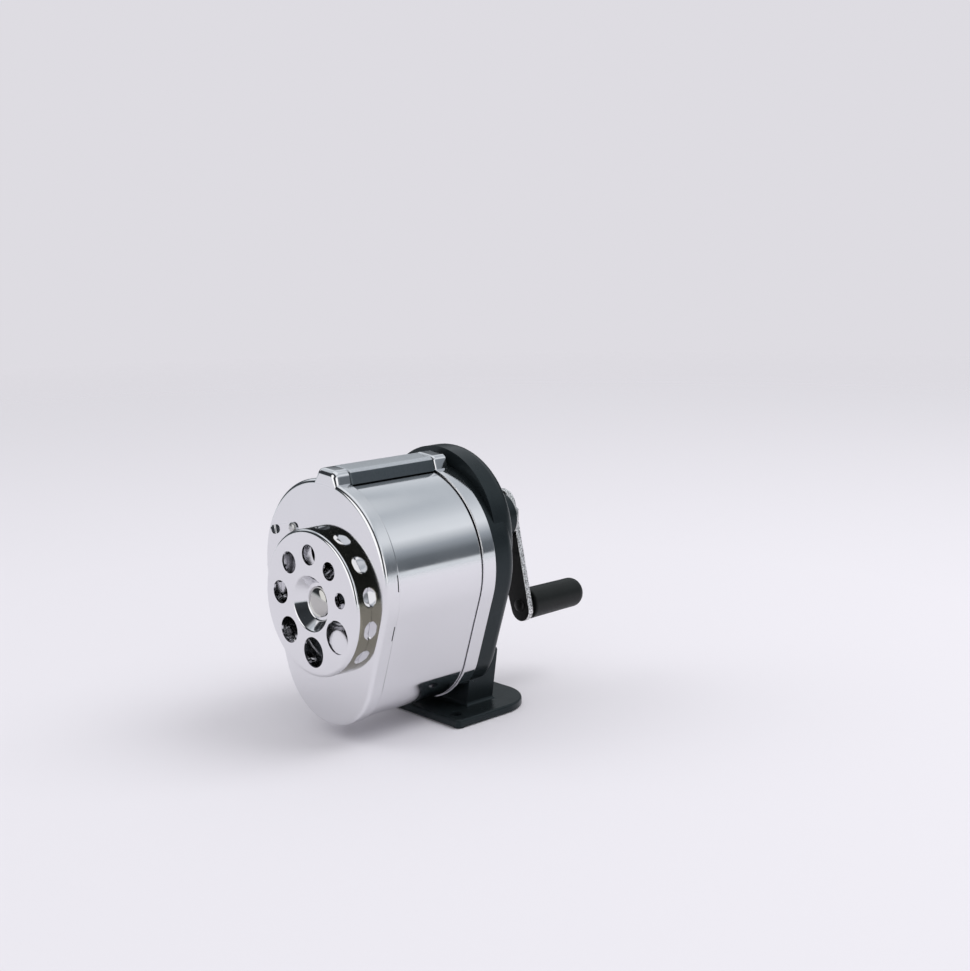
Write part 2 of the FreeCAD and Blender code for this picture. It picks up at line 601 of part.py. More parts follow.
def make_rear_band():
    """Bright band against the frame, with a spigot for the drum and a piece of the ridge."""
    body = new_body("rear_band", ("0", SEAM_Y, "axis_height"))
    spigot_outer = "2 * sheet_wall + slip + spigot_slip"
    band = new_sketch(body, "band", "XZ_Plane", "seam_gap")
    draw_egg(band)
    add_pad(body, "band_pad", band, "band_width")
    ridge = new_sketch(body, "ridge", "XZ_Plane", "seam_gap")
    draw_ridge(ridge)
    add_pad(body, "ridge_pad", ridge, "band_width")
    spigot = new_sketch(body, "spigot", "XZ_Plane", "-spigot_length")
    draw_egg(spigot, spigot_outer)
    add_pad(body, "spigot_pad", spigot, "spigot_length + seam_gap + band_width / 2")
    inside = new_sketch(body, "inside", "XZ_Plane", "-spigot_length - overrun")
    draw_egg(inside, spigot_outer + " + sheet_wall")
    add_pocket(body, "inside_cut", inside, "spigot_length + overrun + seam_gap + band_width - sheet_wall")
    mouth = new_sketch(body, "mouth", "XZ_Plane")
    draw_egg(mouth, spigot_outer + " + sheet_wall + band_flange")
    add_pocket(body, "mouth_cut", mouth, "seam_gap + band_width + overrun")
    keep("rear_band", body)


# Dial
HOLES = ("hole_c", "hole_d", "hole_e", "hole_f", "hole_g", "hole_i", "hole_a", "hole_b")
PIVOT_Z = "axis_height - dial_pitch"


def hole_angles():
    """Each pencil hole with its angle in degrees, from the hole in use at the top, with equal webs."""
    web = "(2 * pi * dial_pitch - (%s)) / %d" % (" + ".join(HOLES), len(HOLES))
    arc = "0"
    for i, diameter in enumerate(HOLES):
        if i:
            arc += " + (%s + %s) / 2" % (HOLES[i - 1], diameter)
        yield diameter, "90 + (%s + %d * (%s)) / dial_pitch * 180 / pi" % (arc, i, web)


def make_dial():
    """Cup with eight pencil holes, a dished middle and flutes pressed into the rim's rear edge."""
    body = new_body("dial", ("0", FACE_Y, PIVOT_Z))
    floor = "-(dial_depth - dish_depth)"
    bore = "rivet_radius + pin_fit"
    add_turning(body, "cup", [
        (bore, floor), ("dish_inner", floor), ("dish_outer", "-dial_depth"), ("dial_radius", "-dial_depth"),
        ("dial_radius", "-dial_gap"), ("dial_radius - dial_wall", "-dial_gap"),
        ("dial_radius - dial_wall", "-dial_depth + dial_wall"), ("dish_outer", "-dial_depth + dial_wall"),
        ("dish_inner", floor + " + dial_wall"), (bore, floor + " + dial_wall")])
    round_edges(body, "rim_round", "dial_bead", lambda e: lies_at(e, "Y", -size("dial_depth"))
                and abs(e.Curve.Radius - size("dial_radius")) < 1e-4)
    holes = new_sketch(body, "holes", "XZ_Plane", "-dial_depth - overrun")
    for diameter, angle in hole_angles():
        draw_circle(holes, "dial_pitch * cos(%s)" % angle, "dial_pitch * sin(%s)" % angle, diameter + " / 2")
    add_pocket(body, "holes_cut", holes, "dial_wall + 2 * overrun")
    before = body.Shape.Volume
    flute = body.newObject("PartDesign::SubtractiveSphere", "dial_flute")
    flute.AttachmentSupport = [(origin_part(body, "XY_Plane"), "")]
    flute.MapMode = "FlatFace"
    flute.setExpression("Radius", bound("flute_radius"))
    middle = "(dial_radius + flute_radius - flute_depth)"
    flute.setExpression("AttachmentOffset.Base.x", bound(middle + " * cos(flute_start)"))
    flute.setExpression("AttachmentOffset.Base.y", bound("-dial_gap"))
    flute.setExpression("AttachmentOffset.Base.z", bound(middle + " * sin(flute_start)"))
    doc.recompute()
    ring = body.newObject("PartDesign::PolarPattern", "dial_flutes")
    ring.Originals = [flute]
    ring.Axis = (origin_part(body, "Y_Axis"), [""])
    ring.Angle = 360
    ring.setExpression("Occurrences", bound("flute_count"))
    body.Tip = ring
    doc.recompute()
    if body.Shape.Volume >= before:
        raise RuntimeError("the flutes cut nothing")
    keep("dial", body)


def make_dial_rivet():
    """Rivet that the dial turns on, with a domed head in the dial's dished middle."""
    body = new_body("dial_rivet", ("0", FACE_Y, PIVOT_Z))
    head = "-(dial_depth - dish_depth) - rivet_gap"
    add_turning(body, "rivet", domed_head("rivet_head", "rivet_dome", head) + [
        ("rivet_radius", head), ("rivet_radius", "sheet_wall"), ("rivet_radius + rivet_tail", "sheet_wall"),
        ("rivet_radius + rivet_tail", "sheet_wall + rivet_tail"), ("0", "sheet_wall + rivet_tail")])
    keep("dial_rivet", body)


def make_dial_spacer():
    """Sleeve on the rivet that holds the dial off the face, and the spring washer in front of it."""
    washer_back = "-(dial_depth - dish_depth) + dial_wall + slip + washer_height"
    inner = "rivet_radius + slip"
    spacer = new_body("dial_spacer", ("0", FACE_Y, PIVOT_Z))
    add_turning(spacer, "sleeve", [
        (inner, washer_back), ("washer_rim", washer_back), ("washer_rim", "0"), (inner, "0")])
    keep("dial_spacer", spacer)
    washer = new_body("dial_washer", ("0", FACE_Y, PIVOT_Z))
    add_turning(washer, "ring", [
        (inner, washer_back + " - washer_height"), ("washer_rim", washer_back + " - washer_sheet"),
        ("washer_rim", washer_back), (inner, washer_back + " - washer_height + washer_sheet")])
    keep("dial_washer", washer)


def make_index_spring():
    """Strip on the face beside the dial's rim with a finger tab at its far end, and its rivet."""
    place = (SPRING_X, FACE_Y, PIVOT_Z + " + " + SPRING_Z)
    spring = new_body("index_spring", place, "-spring_way")
    strip = new_sketch(spring, "strip", "XY_Plane", "-spring_width / 2")
    inner = "spring_foot - spring_sheet"
    draw_polygon(strip, [
        ("-spring_end", "0"), ("spring_foot", "0"), ("spring_foot", "-spring_rise"), (inner, "-spring_rise"),
        (inner, "-spring_sheet"), ("-spring_end", "-spring_sheet")])
    add_pad(spring, "strip_pad", strip, "spring_width", back=False)
    round_edges(spring, "end_round", "spring_round", lambda e: abs(e.Length - size("spring_sheet")) < 1e-4
                and (lies_at(e, "Y", -size("spring_rise")) or lies_at(e, "X", -size("spring_end"))))
    hole = new_sketch(spring, "hole", "XZ_Plane", "-spring_rise")
    draw_circle(hole, "0", "0", "index_rivet_radius + slip")
    add_pocket(spring, "hole_cut", hole, "spring_rise + overrun")
    keep("index_spring", spring)
    rivet = new_body("index_rivet", place)
    add_turning(rivet, "rivet", domed_head("index_rivet_head", "index_rivet_rise", "-spring_sheet") + [
        ("index_rivet_radius", "-spring_sheet"), ("index_rivet_radius", "sheet_wall"),
        ("index_rivet_head", "sheet_wall"), ("index_rivet_head", "sheet_wall + index_rivet_rise"),
        ("0", "sheet_wall + index_rivet_rise")])
    keep("index_rivet", rivet)


def make_pencil_guide():
    """Flanged tube behind the face that leads the pencil to the cutters."""
    body = new_body("pencil_guide", ("0", FACE_Y, "axis_height"))
    outer = "pencil_bore + guide_wall"
    flange = "sheet_wall + guide_wall"
    end = "sheet_wall + guide_length"
    add_turning(body, "tube", [
        ("pencil_bore", "sheet_wall"), ("guide_flange", "sheet_wall"), ("guide_flange", flange),
        (outer, flange), (outer, end), ("pencil_bore", end)])
    keep("pencil_guide", body)


# Cutters and gears
PRESSURE_ANGLE = 20
# Heights of the gear teeth above and below the pitch circle, in modules
PINION_TIP = 0.95
RING_TIP = 0.8
TOOTH_ROOT = 1.25


def gear_outline(teeth, pitch, tip, root, half_angle, start):
    """Closed outline of involute teeth in the XZ plane, half_angle being half a tooth at the pitch circle."""
    pressure = math.radians(PRESSURE_ANGLE)
    base = pitch * math.cos(pressure)
    flare = math.tan(pressure) - pressure

    def flank(radius):
        """Half of a tooth's angle at a radius."""
        turn = math.acos(min(1.0, base / radius))
        return half_angle + flare - (math.tan(turn) - turn)

    low = max(root, base)
    steps = [root, pitch, (pitch + tip) / 2, tip]
    if low > root:
        steps.insert(1, low)
    rising = [(radius, -flank(max(radius, low))) for radius in steps]
    tooth = rising + [(radius, -angle) for radius, angle in reversed(rising)]
    points = []
    for i in range(teeth):
        middle = start + 2 * math.pi * i / teeth
        for radius, angle in tooth:
            points.append(Vec(radius * math.sin(middle + angle), 0, radius * math.cos(middle + angle)))
    return points


def tapered_prism(points, apex, front, rear):
    """Solid between two planes across Y whose section shrinks towards an apex on the Y axis."""
    rings = []
    for place_y in (front, rear):
        share = (apex - place_y) / apex
        corners = [Vec(p.x * share, place_y, p.z * share) for p in points]
        rings.append(Part.makePolygon(corners + corners[:1]))
    return Part.makeLoft(rings, True, True)


class BevelPair:
    """Internal bevel gears whose axes meet at one apex behind the ring gear."""

    def __init__(self):
        tilt = math.radians(size("cutter_tilt"))
        self.ring_teeth = int(size("ring_teeth"))
        self.pinion_teeth = int(size("pinion_teeth"))
        ratio = self.ring_teeth / self.pinion_teeth
        pinion_cone = math.atan2(math.sin(tilt), ratio - math.cos(tilt))
        self.ring_apex = size("cutter_offset") / math.tan(tilt)
        self.pinion_apex = size("cutter_offset") / math.sin(tilt)
        self.ring_pitch = self.ring_apex * math.tan(pinion_cone + tilt)
        self.pinion_pitch = self.pinion_apex * math.tan(pinion_cone)
        self.module = 2 * self.pinion_pitch / self.pinion_teeth

    def pinion_points(self, start):
        """Outline of the pinion at its middle."""
        half = math.pi / (2 * self.pinion_teeth) - size("tooth_play") / (4 * self.pinion_pitch)
        tip = self.pinion_pitch + PINION_TIP * self.module
        root = self.pinion_pitch - TOOTH_ROOT * self.module
        return gear_outline(self.pinion_teeth, self.pinion_pitch, tip, root, half, start)

    def ring_points(self):
        """Outline of the space inside the ring gear at its middle, with a space at the top."""
        half = math.pi / (2 * self.ring_teeth) + size("tooth_play") / (4 * self.ring_pitch)
        root = self.ring_pitch + TOOTH_ROOT * self.module
        tip = self.ring_pitch - RING_TIP * self.module
        return gear_outline(self.ring_teeth, self.ring_pitch, root, tip, half, 0)


def make_ring_gear(pair):
    """Ring with inner teeth, fixed in the gear housing by three screws."""
    width = size("gear_width")
    blank = Part.makeCylinder(size("ring_radius"), width, Vec(0, -width / 2, 0), Vec(0, 1, 0))
    past = size("overrun")
    space = tapered_prism(pair.ring_points(), pair.ring_apex, -width / 2 - past, width / 2 + past)
    gear = blank.cut(space)
    middle = Vec(0, size("gear_middle"), 0)
    for point in ring_screw_points():
        gear = gear.cut(Part.makeCylinder(size("ring_screw_radius") + size("slip"), width + 2 * past,
                                          point - middle - Vec(0, past, 0), Vec(0, 1, 0)))
    new_feature("ring_gear", gear, ("0", FRAME_Y + " + gear_middle", "axis_height"))


def make_ring_screws():
    """Three screws of the ring gear, with domed heads."""
    screws = []
    rise = size("ring_screw_rise")
    for point in ring_screw_points():
        shank = Part.makeCylinder(size("ring_screw_radius"), size("ring_screw_length"), point, Vec(0, 1, 0))
        head = Part.makeCone(size("ring_screw_head") * DOME_CROWN, size("ring_screw_head"), rise,
                             point - Vec(0, rise, 0), Vec(0, 1, 0))
        screws.append(shank.fuse(head))
    new_feature("ring_gear_screws", Part.makeCompound(screws), ("0", FRAME_Y, "axis_height"))


CUTTER_SECTIONS = 9
# Shares of a cutter tooth's pitch where its slope ends and where its flat tip ends
TOOTH_SLOPE = 0.62
TOOTH_LAND = 0.78
CUTTER_PLACES = (("upper", 1, 0), ("lower", -1, 180))


def cutter_frame(side, turn):
    """Placement of a cutter's own axis: its Y axis leans in towards the rear."""
    lean = FreeCAD.Rotation(Vec(1, 0, 0), -size("cutter_tilt"))
    around = FreeCAD.Rotation(Vec(0, 1, 0), turn)
    return FreeCAD.Placement(Vec(0, 0, side * size("cutter_offset")), around.multiply(lean))


def put_on_cutter_axis(feature, side, turn):
    """Set a feature on a cutter's axis, from the middle of the gears."""
    feature.Placement = FreeCAD.Placement(Vec(), cutter_frame(side, turn).Rotation)
    place(feature, ("0", FRAME_Y + " + gear_middle", "axis_height + (%d) * cutter_offset" % side))


def make_cutters(pair):
    """Two milled cutters with twisted saw teeth, each with its pinion, running on pins in the carrier."""
    bore = size("pin_radius") + size("pin_fit")
    teeth = int(size("cutter_teeth"))
    rear, length = -size("cutter_end"), size("cutter_length")
    step = 2 * math.pi / teeth
    tip = size("cutter_radius")
    tooth = ((size("cutter_root"), 0.0), (tip, TOOTH_SLOPE), (tip, TOOTH_LAND))
    rings = []
    for section in range(CUTTER_SECTIONS + 1):
        share = section / CUTTER_SECTIONS
        twist = math.radians(size("cutter_twist")) * share
        corners = []
        for i in range(teeth):
            for radius, part in tooth:
                angle = twist + step * (i + part)
                corners.append(Vec(radius * math.sin(angle), rear - length * share, radius * math.cos(angle)))
        rings.append(Part.makePolygon(corners + corners[:1]))
    drill = Part.makeCylinder(bore, 2 * length, Vec(0, -1.5 * length, 0), Vec(0, 1, 0))
    cutter = Part.makeLoft(rings, True, True).cut(drill)
    half = size("pinion_width") / 2
    neck = Part.makeCylinder(size("pinion_neck"), -rear, Vec(0, rear, 0), Vec(0, 1, 0))
    for name, side, turn in CUTTER_PLACES:
        start = 0 if side > 0 else math.pi / pair.pinion_teeth
        toothed = tapered_prism(pair.pinion_points(start), pair.pinion_apex, -half, half)
        pinion = toothed.fuse(neck).cut(drill)
        for label, shape in ((name + "_cutter", cutter), (name + "_pinion", pinion)):
            put_on_cutter_axis(new_feature(label, shape, ("0", "0", "0")), side, turn)


def pin_span():
    """Where a cutter pin starts and ends along its own axis, flush with the carrier or just inside it."""
    tilt = math.radians(size("cutter_tilt"))
    room = size("pin_radius") * math.tan(tilt)
    nose = nose_place() - size("gear_middle")
    pinion_rear = size("pinion_width") / 2 * math.cos(tilt) + size("cutter_radius") * math.sin(tilt)
    rear = pinion_rear + size("disc_gap") + size("disc_thickness")
    return (nose - size("nose_thickness")) / math.cos(tilt) + room, rear / math.cos(tilt) - room


def nose_place():
    """Rear face of the carrier's nose ring behind the frame's front plane."""
    tilt = math.radians(size("cutter_tilt"))
    front = (size("cutter_end") + size("cutter_length")) * math.cos(tilt)
    return size("gear_middle") - front - size("cutter_radius") * math.sin(tilt) - size("nose_gap")


def pin_shape(radius, extra):
    """Both cutter pins as separate solids, from the middle of the gears on the crank axis."""
    front, rear = pin_span()
    pins = []
    for _name, side, turn in CUTTER_PLACES:
        pin = Part.makeCylinder(radius, rear - front + 2 * extra, Vec(0, front - extra, 0), Vec(0, 1, 0))
        pin.Placement = cutter_frame(side, turn)
        pins.append(pin)
    return pins


def make_carrier():
    """Cage of a rear disc, a nose ring and two webs, with leaning holes for the cutter pins."""
    body = new_body("carrier_casting", ("0", FRAME_Y, "axis_height"))
    disc_rear = DISC_Y + " + disc_thickness"
    add_turning(body, "disc", [
        ("shaft_radius + slip", DISC_Y), ("disc_radius", DISC_Y), ("disc_radius", disc_rear),
        ("shaft_radius + slip", disc_rear)])
    webs = new_sketch(body, "webs", "XZ_Plane", NOSE_Y + " - nose_thickness / 2")
    for inner, outer in (("web_inner", "web_outer"), ("-web_outer", "-web_inner")):
        draw_polygon(webs, [(inner, "-web_width / 2"), (outer, "-web_width / 2"),
                            (outer, "web_width / 2"), (inner, "web_width / 2")])
    add_pad(body, "webs_pad", webs, DISC_Y + " + disc_thickness / 2 - (%s - nose_thickness / 2)" % NOSE_Y)
    nose_front = NOSE_Y + " - nose_thickness"
    add_turning(body, "nose", [
        ("nose_bore + nose_lead", nose_front), ("nose_radius - nose_chamfer", nose_front),
        ("nose_radius", nose_front + " + nose_chamfer"), ("nose_radius", NOSE_Y), ("nose_bore", NOSE_Y),
        ("nose_bore", nose_front + " + nose_lead")])
    drill = doc.addObject("Part::Feature", "pin_drill")
    drill.Shape = Part.makeCompound(pin_shape(size("pin_radius") + size("slip"), size("disc_thickness")))
    place(drill, ("0", FRAME_Y + " + gear_middle", "axis_height"))
    carrier = doc.addObject("Part::Cut", "cutter_carrier")
    carrier.Base = body
    carrier.Tool = drill
    keep("cutter_carrier", carrier)
    new_feature("cutter_pins", Part.makeCompound(pin_shape(size("pin_radius"), 0)),
                ("0", FRAME_Y + " + gear_middle", "axis_height"))


# Shaft and crank
def make_shaft():
    """Drive shaft from the carrier through the bush to the crank nut."""
    body = new_body("drive_shaft", ("0", FRAME_Y, "axis_height"))
    tail = ARM_Y + " + arm_thickness + crank_washer_height + nut_height + shaft_tail"
    add_turning(body, "shaft", [
        ("0", DISC_Y), ("shaft_radius", DISC_Y), ("shaft_radius", ARM_Y), ("shaft_neck", ARM_Y),
        ("shaft_neck", tail), ("0", tail)])
    keep("drive_shaft", body)


def make_ring_piece(label, inner, outer, front, height):
    """Plain washer on the crank axis."""
    body = new_body(label, ("0", FRAME_Y, "axis_height"))
    add_turning(body, "ring", [(inner, front), (outer, front), (outer, front + " + " + height),
                               (inner, front + " + " + height)])
    keep(label, body)


def make_nut():
    """Six-sided crank nut."""
    front = ARM_Y + " + arm_thickness + crank_washer_height"
    body = new_body("crank_nut", ("0", FRAME_Y, "axis_height"))
    outline = new_sketch(body, "outline", "XZ_Plane", front)
    corners = range(0, 360, 60)
    draw_polygon(outline, [("nut_radius * cos(%d)" % a, "nut_radius * sin(%d)" % a) for a in corners])
    draw_circle(outline, "0", "0", "shaft_neck + slip")
    add_pad(body, "outline_pad", outline, "nut_height")
    keep("crank_nut", body)


KNOB_X = "crank_radius * sin(crank_hang)"
KNOB_Y = FRAME_Y + " + " + ARM_Y + " + arm_thickness"
KNOB_Z = "axis_height - crank_radius * cos(crank_hang)"


def make_crank_arm():
    """Flat arm with round ends, a little wider at the shaft and reaching past it."""
    body = new_body("crank_arm", ("0", FRAME_Y + " + " + ARM_Y, "axis_height"), "-crank_hang")
    outline = new_sketch(body, "outline", "XZ_Plane")
    draw_teardrop(outline, "arm_eye", "arm_tip", "arm_heel", "crank_radius + arm_heel",
                  size("crank_radius") + size("arm_heel"))
    draw_circle(outline, "0", "0", "shaft_neck + slip")
    draw_circle(outline, "0", "-crank_radius", "knob_pin_radius + slip")
    add_pad(body, "outline_pad", outline, "arm_thickness")
    keep("crank_arm", body)


def make_knob_pin():
    """Pin riveted into the crank arm, with a collar against the arm."""
    body = new_body("knob_pin", (KNOB_X, KNOB_Y, KNOB_Z))
    head = "-arm_thickness"
    add_turning(body, "pin", domed_head("knob_pin_head", "knob_pin_dome", head) + [
        ("knob_pin_radius", head), ("knob_pin_radius", "0"), ("knob_pin_collar", "0"),
        ("knob_pin_collar", "knob_pin_collar_height"),
        ("knob_pin_radius", "knob_pin_collar_height"), ("knob_pin_radius", "knob_pin_length"),
        ("0", "knob_pin_length")])
    keep("knob_pin", body)


def make_knob():
    """Tapered knob with a rounded end that turns on its pin."""
    body = new_body("crank_knob", (KNOB_X, KNOB_Y, KNOB_Z))
    front = "knob_pin_collar_height + knob_gap"
    end = front + " + knob_length"
    bore = "knob_pin_radius + knob_fit"
    depth = "knob_pin_length + knob_gap"
    add_turning(body, "knob", [
        (bore, front), ("knob_root", front), ("knob_swell", front + " + knob_taper"),
        ("knob_swell", end), ("0", end), ("0", depth), (bore, depth)])
    rear = size("knob_pin_collar_height") + size("knob_gap") + size("knob_length")
    round_edges(body, "end_round", "knob_round", lambda e: lies_at(e, "Y", rear))
    keep("crank_knob", body)


def make_everything():
    """Build every sub-part in order."""
    pair = BevelPair()
    make_stand()
    make_bush()
    make_rear_band()
    make_front_cap()
    make_drum_shell()
    make_ridge_cover()
    make_dial()
    make_dial_rivet()
    make_dial_spacer()
    make_index_spring()
    make_pencil_guide()
    make_ring_gear(pair)
    make_ring_screws()
    make_cutters(pair)
    make_carrier()
    make_shaft()
    make_ring_piece("thrust_washer", "shaft_radius + slip", "boss_radius - slip", "boss_end + thrust_gap",
                    "thrust_height")
    make_ring_piece("crank_washer", "shaft_neck + slip", "crank_washer_radius", ARM_Y + " + arm_thickness",
                    "crank_washer_height")
    make_nut()
    make_crank_arm()
    make_knob_pin()
    make_knob()
    doc.recompute()


def write_parts():
    """Check every object, then write each sub-part to its own file."""
    for thing in doc.Objects:
        if "Invalid" in thing.State or "Error" in thing.State:
            raise RuntimeError("%s failed: %s" % (thing.Name, thing.State))
    for label, thing in nodes.items():
        if thing.Shape.isNull() or not thing.Shape.isValid():
            raise RuntimeError("%s has no valid shape" % label)
    os.makedirs("parts", exist_ok=True)
    for label, thing in nodes.items():
        thing.Shape.exportStep("parts/%s.step" % label)
        print("%-18s %d solid(s) %10.1f mm3" % (label, len(thing.Shape.Solids), thing.Shape.Volume))


make_everything()
write_parts()
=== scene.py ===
import json
from math import asin, atan2, copysign, cos, hypot, pi, radians, sin, sqrt, tan

import bmesh
import bpy
from bmesh.types import BMEdge, BMVert
from bpy.props import FloatProperty, FloatVectorProperty, IntProperty, PointerProperty
from mathutils import Matrix, Vector


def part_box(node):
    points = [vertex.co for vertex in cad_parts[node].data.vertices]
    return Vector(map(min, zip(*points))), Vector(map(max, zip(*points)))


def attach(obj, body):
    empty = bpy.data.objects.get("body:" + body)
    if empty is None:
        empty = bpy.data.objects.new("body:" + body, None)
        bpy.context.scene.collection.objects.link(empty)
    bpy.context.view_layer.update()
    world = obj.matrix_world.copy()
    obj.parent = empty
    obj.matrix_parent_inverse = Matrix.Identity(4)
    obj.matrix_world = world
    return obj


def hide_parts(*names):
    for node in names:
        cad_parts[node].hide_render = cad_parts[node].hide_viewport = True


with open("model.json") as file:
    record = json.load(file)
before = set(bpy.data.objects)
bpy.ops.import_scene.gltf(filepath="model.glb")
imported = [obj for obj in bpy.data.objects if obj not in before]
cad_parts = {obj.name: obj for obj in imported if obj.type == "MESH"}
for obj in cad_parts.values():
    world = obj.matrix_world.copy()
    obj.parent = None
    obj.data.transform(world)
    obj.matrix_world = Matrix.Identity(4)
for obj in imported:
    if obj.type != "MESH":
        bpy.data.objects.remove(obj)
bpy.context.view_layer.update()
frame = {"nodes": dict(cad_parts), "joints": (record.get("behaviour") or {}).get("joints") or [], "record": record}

bl_info = {
    "name": "Crank Pencil Sharpener",
    "version": (1, 0, 0),
    "blender": (4, 5, 0),
    "location": "3D View > Sidebar > Sharpener",
    "description": "Smooth, finished pieces for a crank pencil sharpener with an egg-shaped drum",
    "category": "Object",
}

# Places taken from the frame: the crank axis runs along +Y, the dial is at the -Y end
MM = 0.001
JOINTS = {joint["name"]: joint for joint in frame["joints"]}
AXIS_Z = JOINTS["crank_turn"]["pos_m"][2]
PIVOT = Vector(JOINTS["dial_turn"]["pos_m"])
KNOB = Vector(JOINTS["knob_spin"]["pos_m"])
FACE_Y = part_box("front_cap")[0].y
LIP_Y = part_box("front_cap")[1].y
SEAM_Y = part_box("drum_shell")[1].y
DRUM_FRONT_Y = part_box("drum_shell")[0].y
BAND_REAR_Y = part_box("rear_band")[1].y
SPIGOT_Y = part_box("rear_band")[0].y
DIAL_FRONT_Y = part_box("dial")[0].y

ALONG_Y = Vector((0, 1, 0))
# A spin about this axis runs from the right, over the top, to the left, seen from the dial
OVER_TOP = (0, -1, 0)


def mm(name, description, default):
    """Length property whose default is given in millimetres."""
    return FloatProperty(name=name, description=description, default=default * MM, min=0, unit="LENGTH",
                         precision=5)


def degrees(name, description, default):
    """Angle property whose default is given in degrees."""
    return FloatProperty(name=name, description=description, default=radians(default), subtype="ANGLE")


def rgb(name, description, default):
    """Colour property whose default is given as red, green and blue."""
    return FloatVectorProperty(name=name, description=description, default=default, size=3, min=0, max=1,
                               subtype="COLOR")


class DrumSizes(bpy.types.PropertyGroup):
    """Sizes of the drum, its cap, its ridge and the rear band."""

    upper_radius: mm("Upper radius", "Upper radius of the egg outline", 35.5)
    lower_radius: mm("Lower radius", "Lower radius of the egg outline", 26.1)
    spread: mm("Spread", "Distance between the outline's two centres", 29.6)
    drop: mm("Drop", "Upper centre of the outline below the crank axis", 9.0)
    sheet: mm("Sheet", "Thickness of the pressed sheet", 0.8)
    slip: mm("Slip", "Clearance between the cap's lip and the drum", 0.05)
    spigot_slip: mm("Spigot slip", "Clearance of the drum on the band's spigot", 0.15)
    face_round: mm("Face rounding", "Rounded front edge of the cap", 1.5)
    edge_round: mm("Edge rounding", "Rounded edges of the band", 0.35)
    seam_gap: mm("Seam gap", "Gap between the drum and the band", 0.3)
    flange: mm("Flange", "Inward flange of the band", 5.0)
    pencil_bore: mm("Pencil bore", "Radius of the pencil's way through the cap", 6.6)
    ridge_base: mm("Ridge base", "Top ridge across at its foot", 13.6)
    ridge_top: mm("Ridge top", "Top ridge across at its top", 9.8)
    ridge_height: mm("Ridge height", "Top ridge above the egg outline", 4.0)
    ridge_turn: degrees("Ridge lean", "Lean of the top ridge about the outline's upper centre", 5.0)
    ridge_round: mm("Ridge rounding", "Rounded edges of the ridge", 1.4)
    nose_round: mm("Nose rounding", "Rounded front end of the ridge", 2.2)
    slit_length: mm("Slit length", "Slits near the edge of the cap's lip, round the drum", 5.2)
    slit_width: mm("Slit width", "Slits near the edge of the cap's lip, along the drum", 0.45)
    slit_depth: mm("Slit depth", "Depth of the lip's slits", 0.5)
    slit_edge: mm("Slit edge", "Slits from the edge of the lip", 0.75)
    lip_round: mm("Lip rounding", "Rounded rear edge of the cap's lip", 0.7)
    slit_upper: mm("Upper slits", "Upper slits of the lip below the crank axis", 6.5)
    slit_lower: mm("Lower slits", "Lower slits of the lip below the crank axis", 25.6)
    cover_step: mm("Cover step", "Satin cover below the ridge's bright ends", 0.1)


class DialSizes(bpy.types.PropertyGroup):
    """Sizes of the dial, its rivet and the index spring."""

    radius: mm("Radius", "Selector dial", 27.0)
    sheet: mm("Sheet", "Thickness of the dial's sheet", 0.8)
    bead: mm("Bead", "Rounded front edge of the dial", 1.2)
    pitch: mm("Hole circle", "Pencil holes from the dial's pivot", 17.9)
    holes: FloatVectorProperty(
        name="Holes", description="Diameters of the pencil holes, from the one in use, anticlockwise",
        default=[d * MM for d in (7.7, 8.2, 8.7, 9.9, 11.3, 12.3, 5.8, 6.8)], size=8, min=0, unit="LENGTH")
    dish_outer: mm("Dish mouth", "Mouth of the dished middle, radius", 10.2)
    dish_inner: mm("Dish floor", "Floor of the dished middle, radius", 7.0)
    dish_depth: mm("Dish depth", "Depth of the dished middle", 4.2)
    dish_round: mm("Dish rounding", "Rounded mouth of the dish", 0.9)
    rivet_radius: mm("Rivet", "Shank of the dial rivet", 2.6)
    rivet_head: mm("Rivet head", "Head of the dial rivet, radius", 5.7)
    rivet_dome: mm("Rivet dome", "Height of the dial rivet's head", 1.7)
    rivet_gap: mm("Rivet gap", "Head of the dial rivet from the dial", 0.3)
    rivet_tail: mm("Rivet tail", "Upset end of the rivet inside the cap", 1.0)
    rim_gap: mm("Rim gap", "Rear edge of the dial's rim from the face", 0.06)
    flutes: IntProperty(name="Flutes", description="Pressed flutes round the rim", default=14, min=3)
    flute_start: degrees("First flute", "First flute from the right-hand side", 12.4)
    flute_width: mm("Flute width", "Half a flute's width round the rim", 3.3)
    flute_length: mm("Flute length", "Flute from the rim's rear edge forwards", 2.9)
    flute_depth: mm("Flute depth", "Depth of a flute at the rim's rear edge", 0.85)
    spring_angle: degrees("Spring place", "Place of the index spring's rivet round the dial", 124.5)
    spring_reach: mm("Spring reach", "Index spring's rivet from the dial's middle", 29.8)
    spring_way: degrees("Spring way", "Way of the index spring from its rivet to its finger tab", 191.0)
    spring_sheet: mm("Spring sheet", "Thickness of the index spring", 0.5)
    spring_foot: mm("Spring foot", "Index spring's rivet to the back of its finger tab", 11.3)
    spring_end: mm("Spring end", "Index spring beyond its rivet", 2.4)
    spring_rise: mm("Spring rise", "Height of the spring's finger tab", 2.4)
    spring_width: mm("Spring width", "Width of the index spring", 3.4)
    spring_round: mm("Spring rounding", "Rounded corners of the spring's two ends", 1.6)
    index_head: mm("Index rivet head", "Heads of the index spring's rivet, radius", 2.0)
    index_dome: mm("Index rivet dome", "Height of a head of the index spring's rivet", 0.9)
    index_shank: mm("Index rivet", "Shank of the index spring's rivet, radius", 1.2)
    spring_bend: mm("Spring bend", "Inner radius of the spring's bends", 0.5)


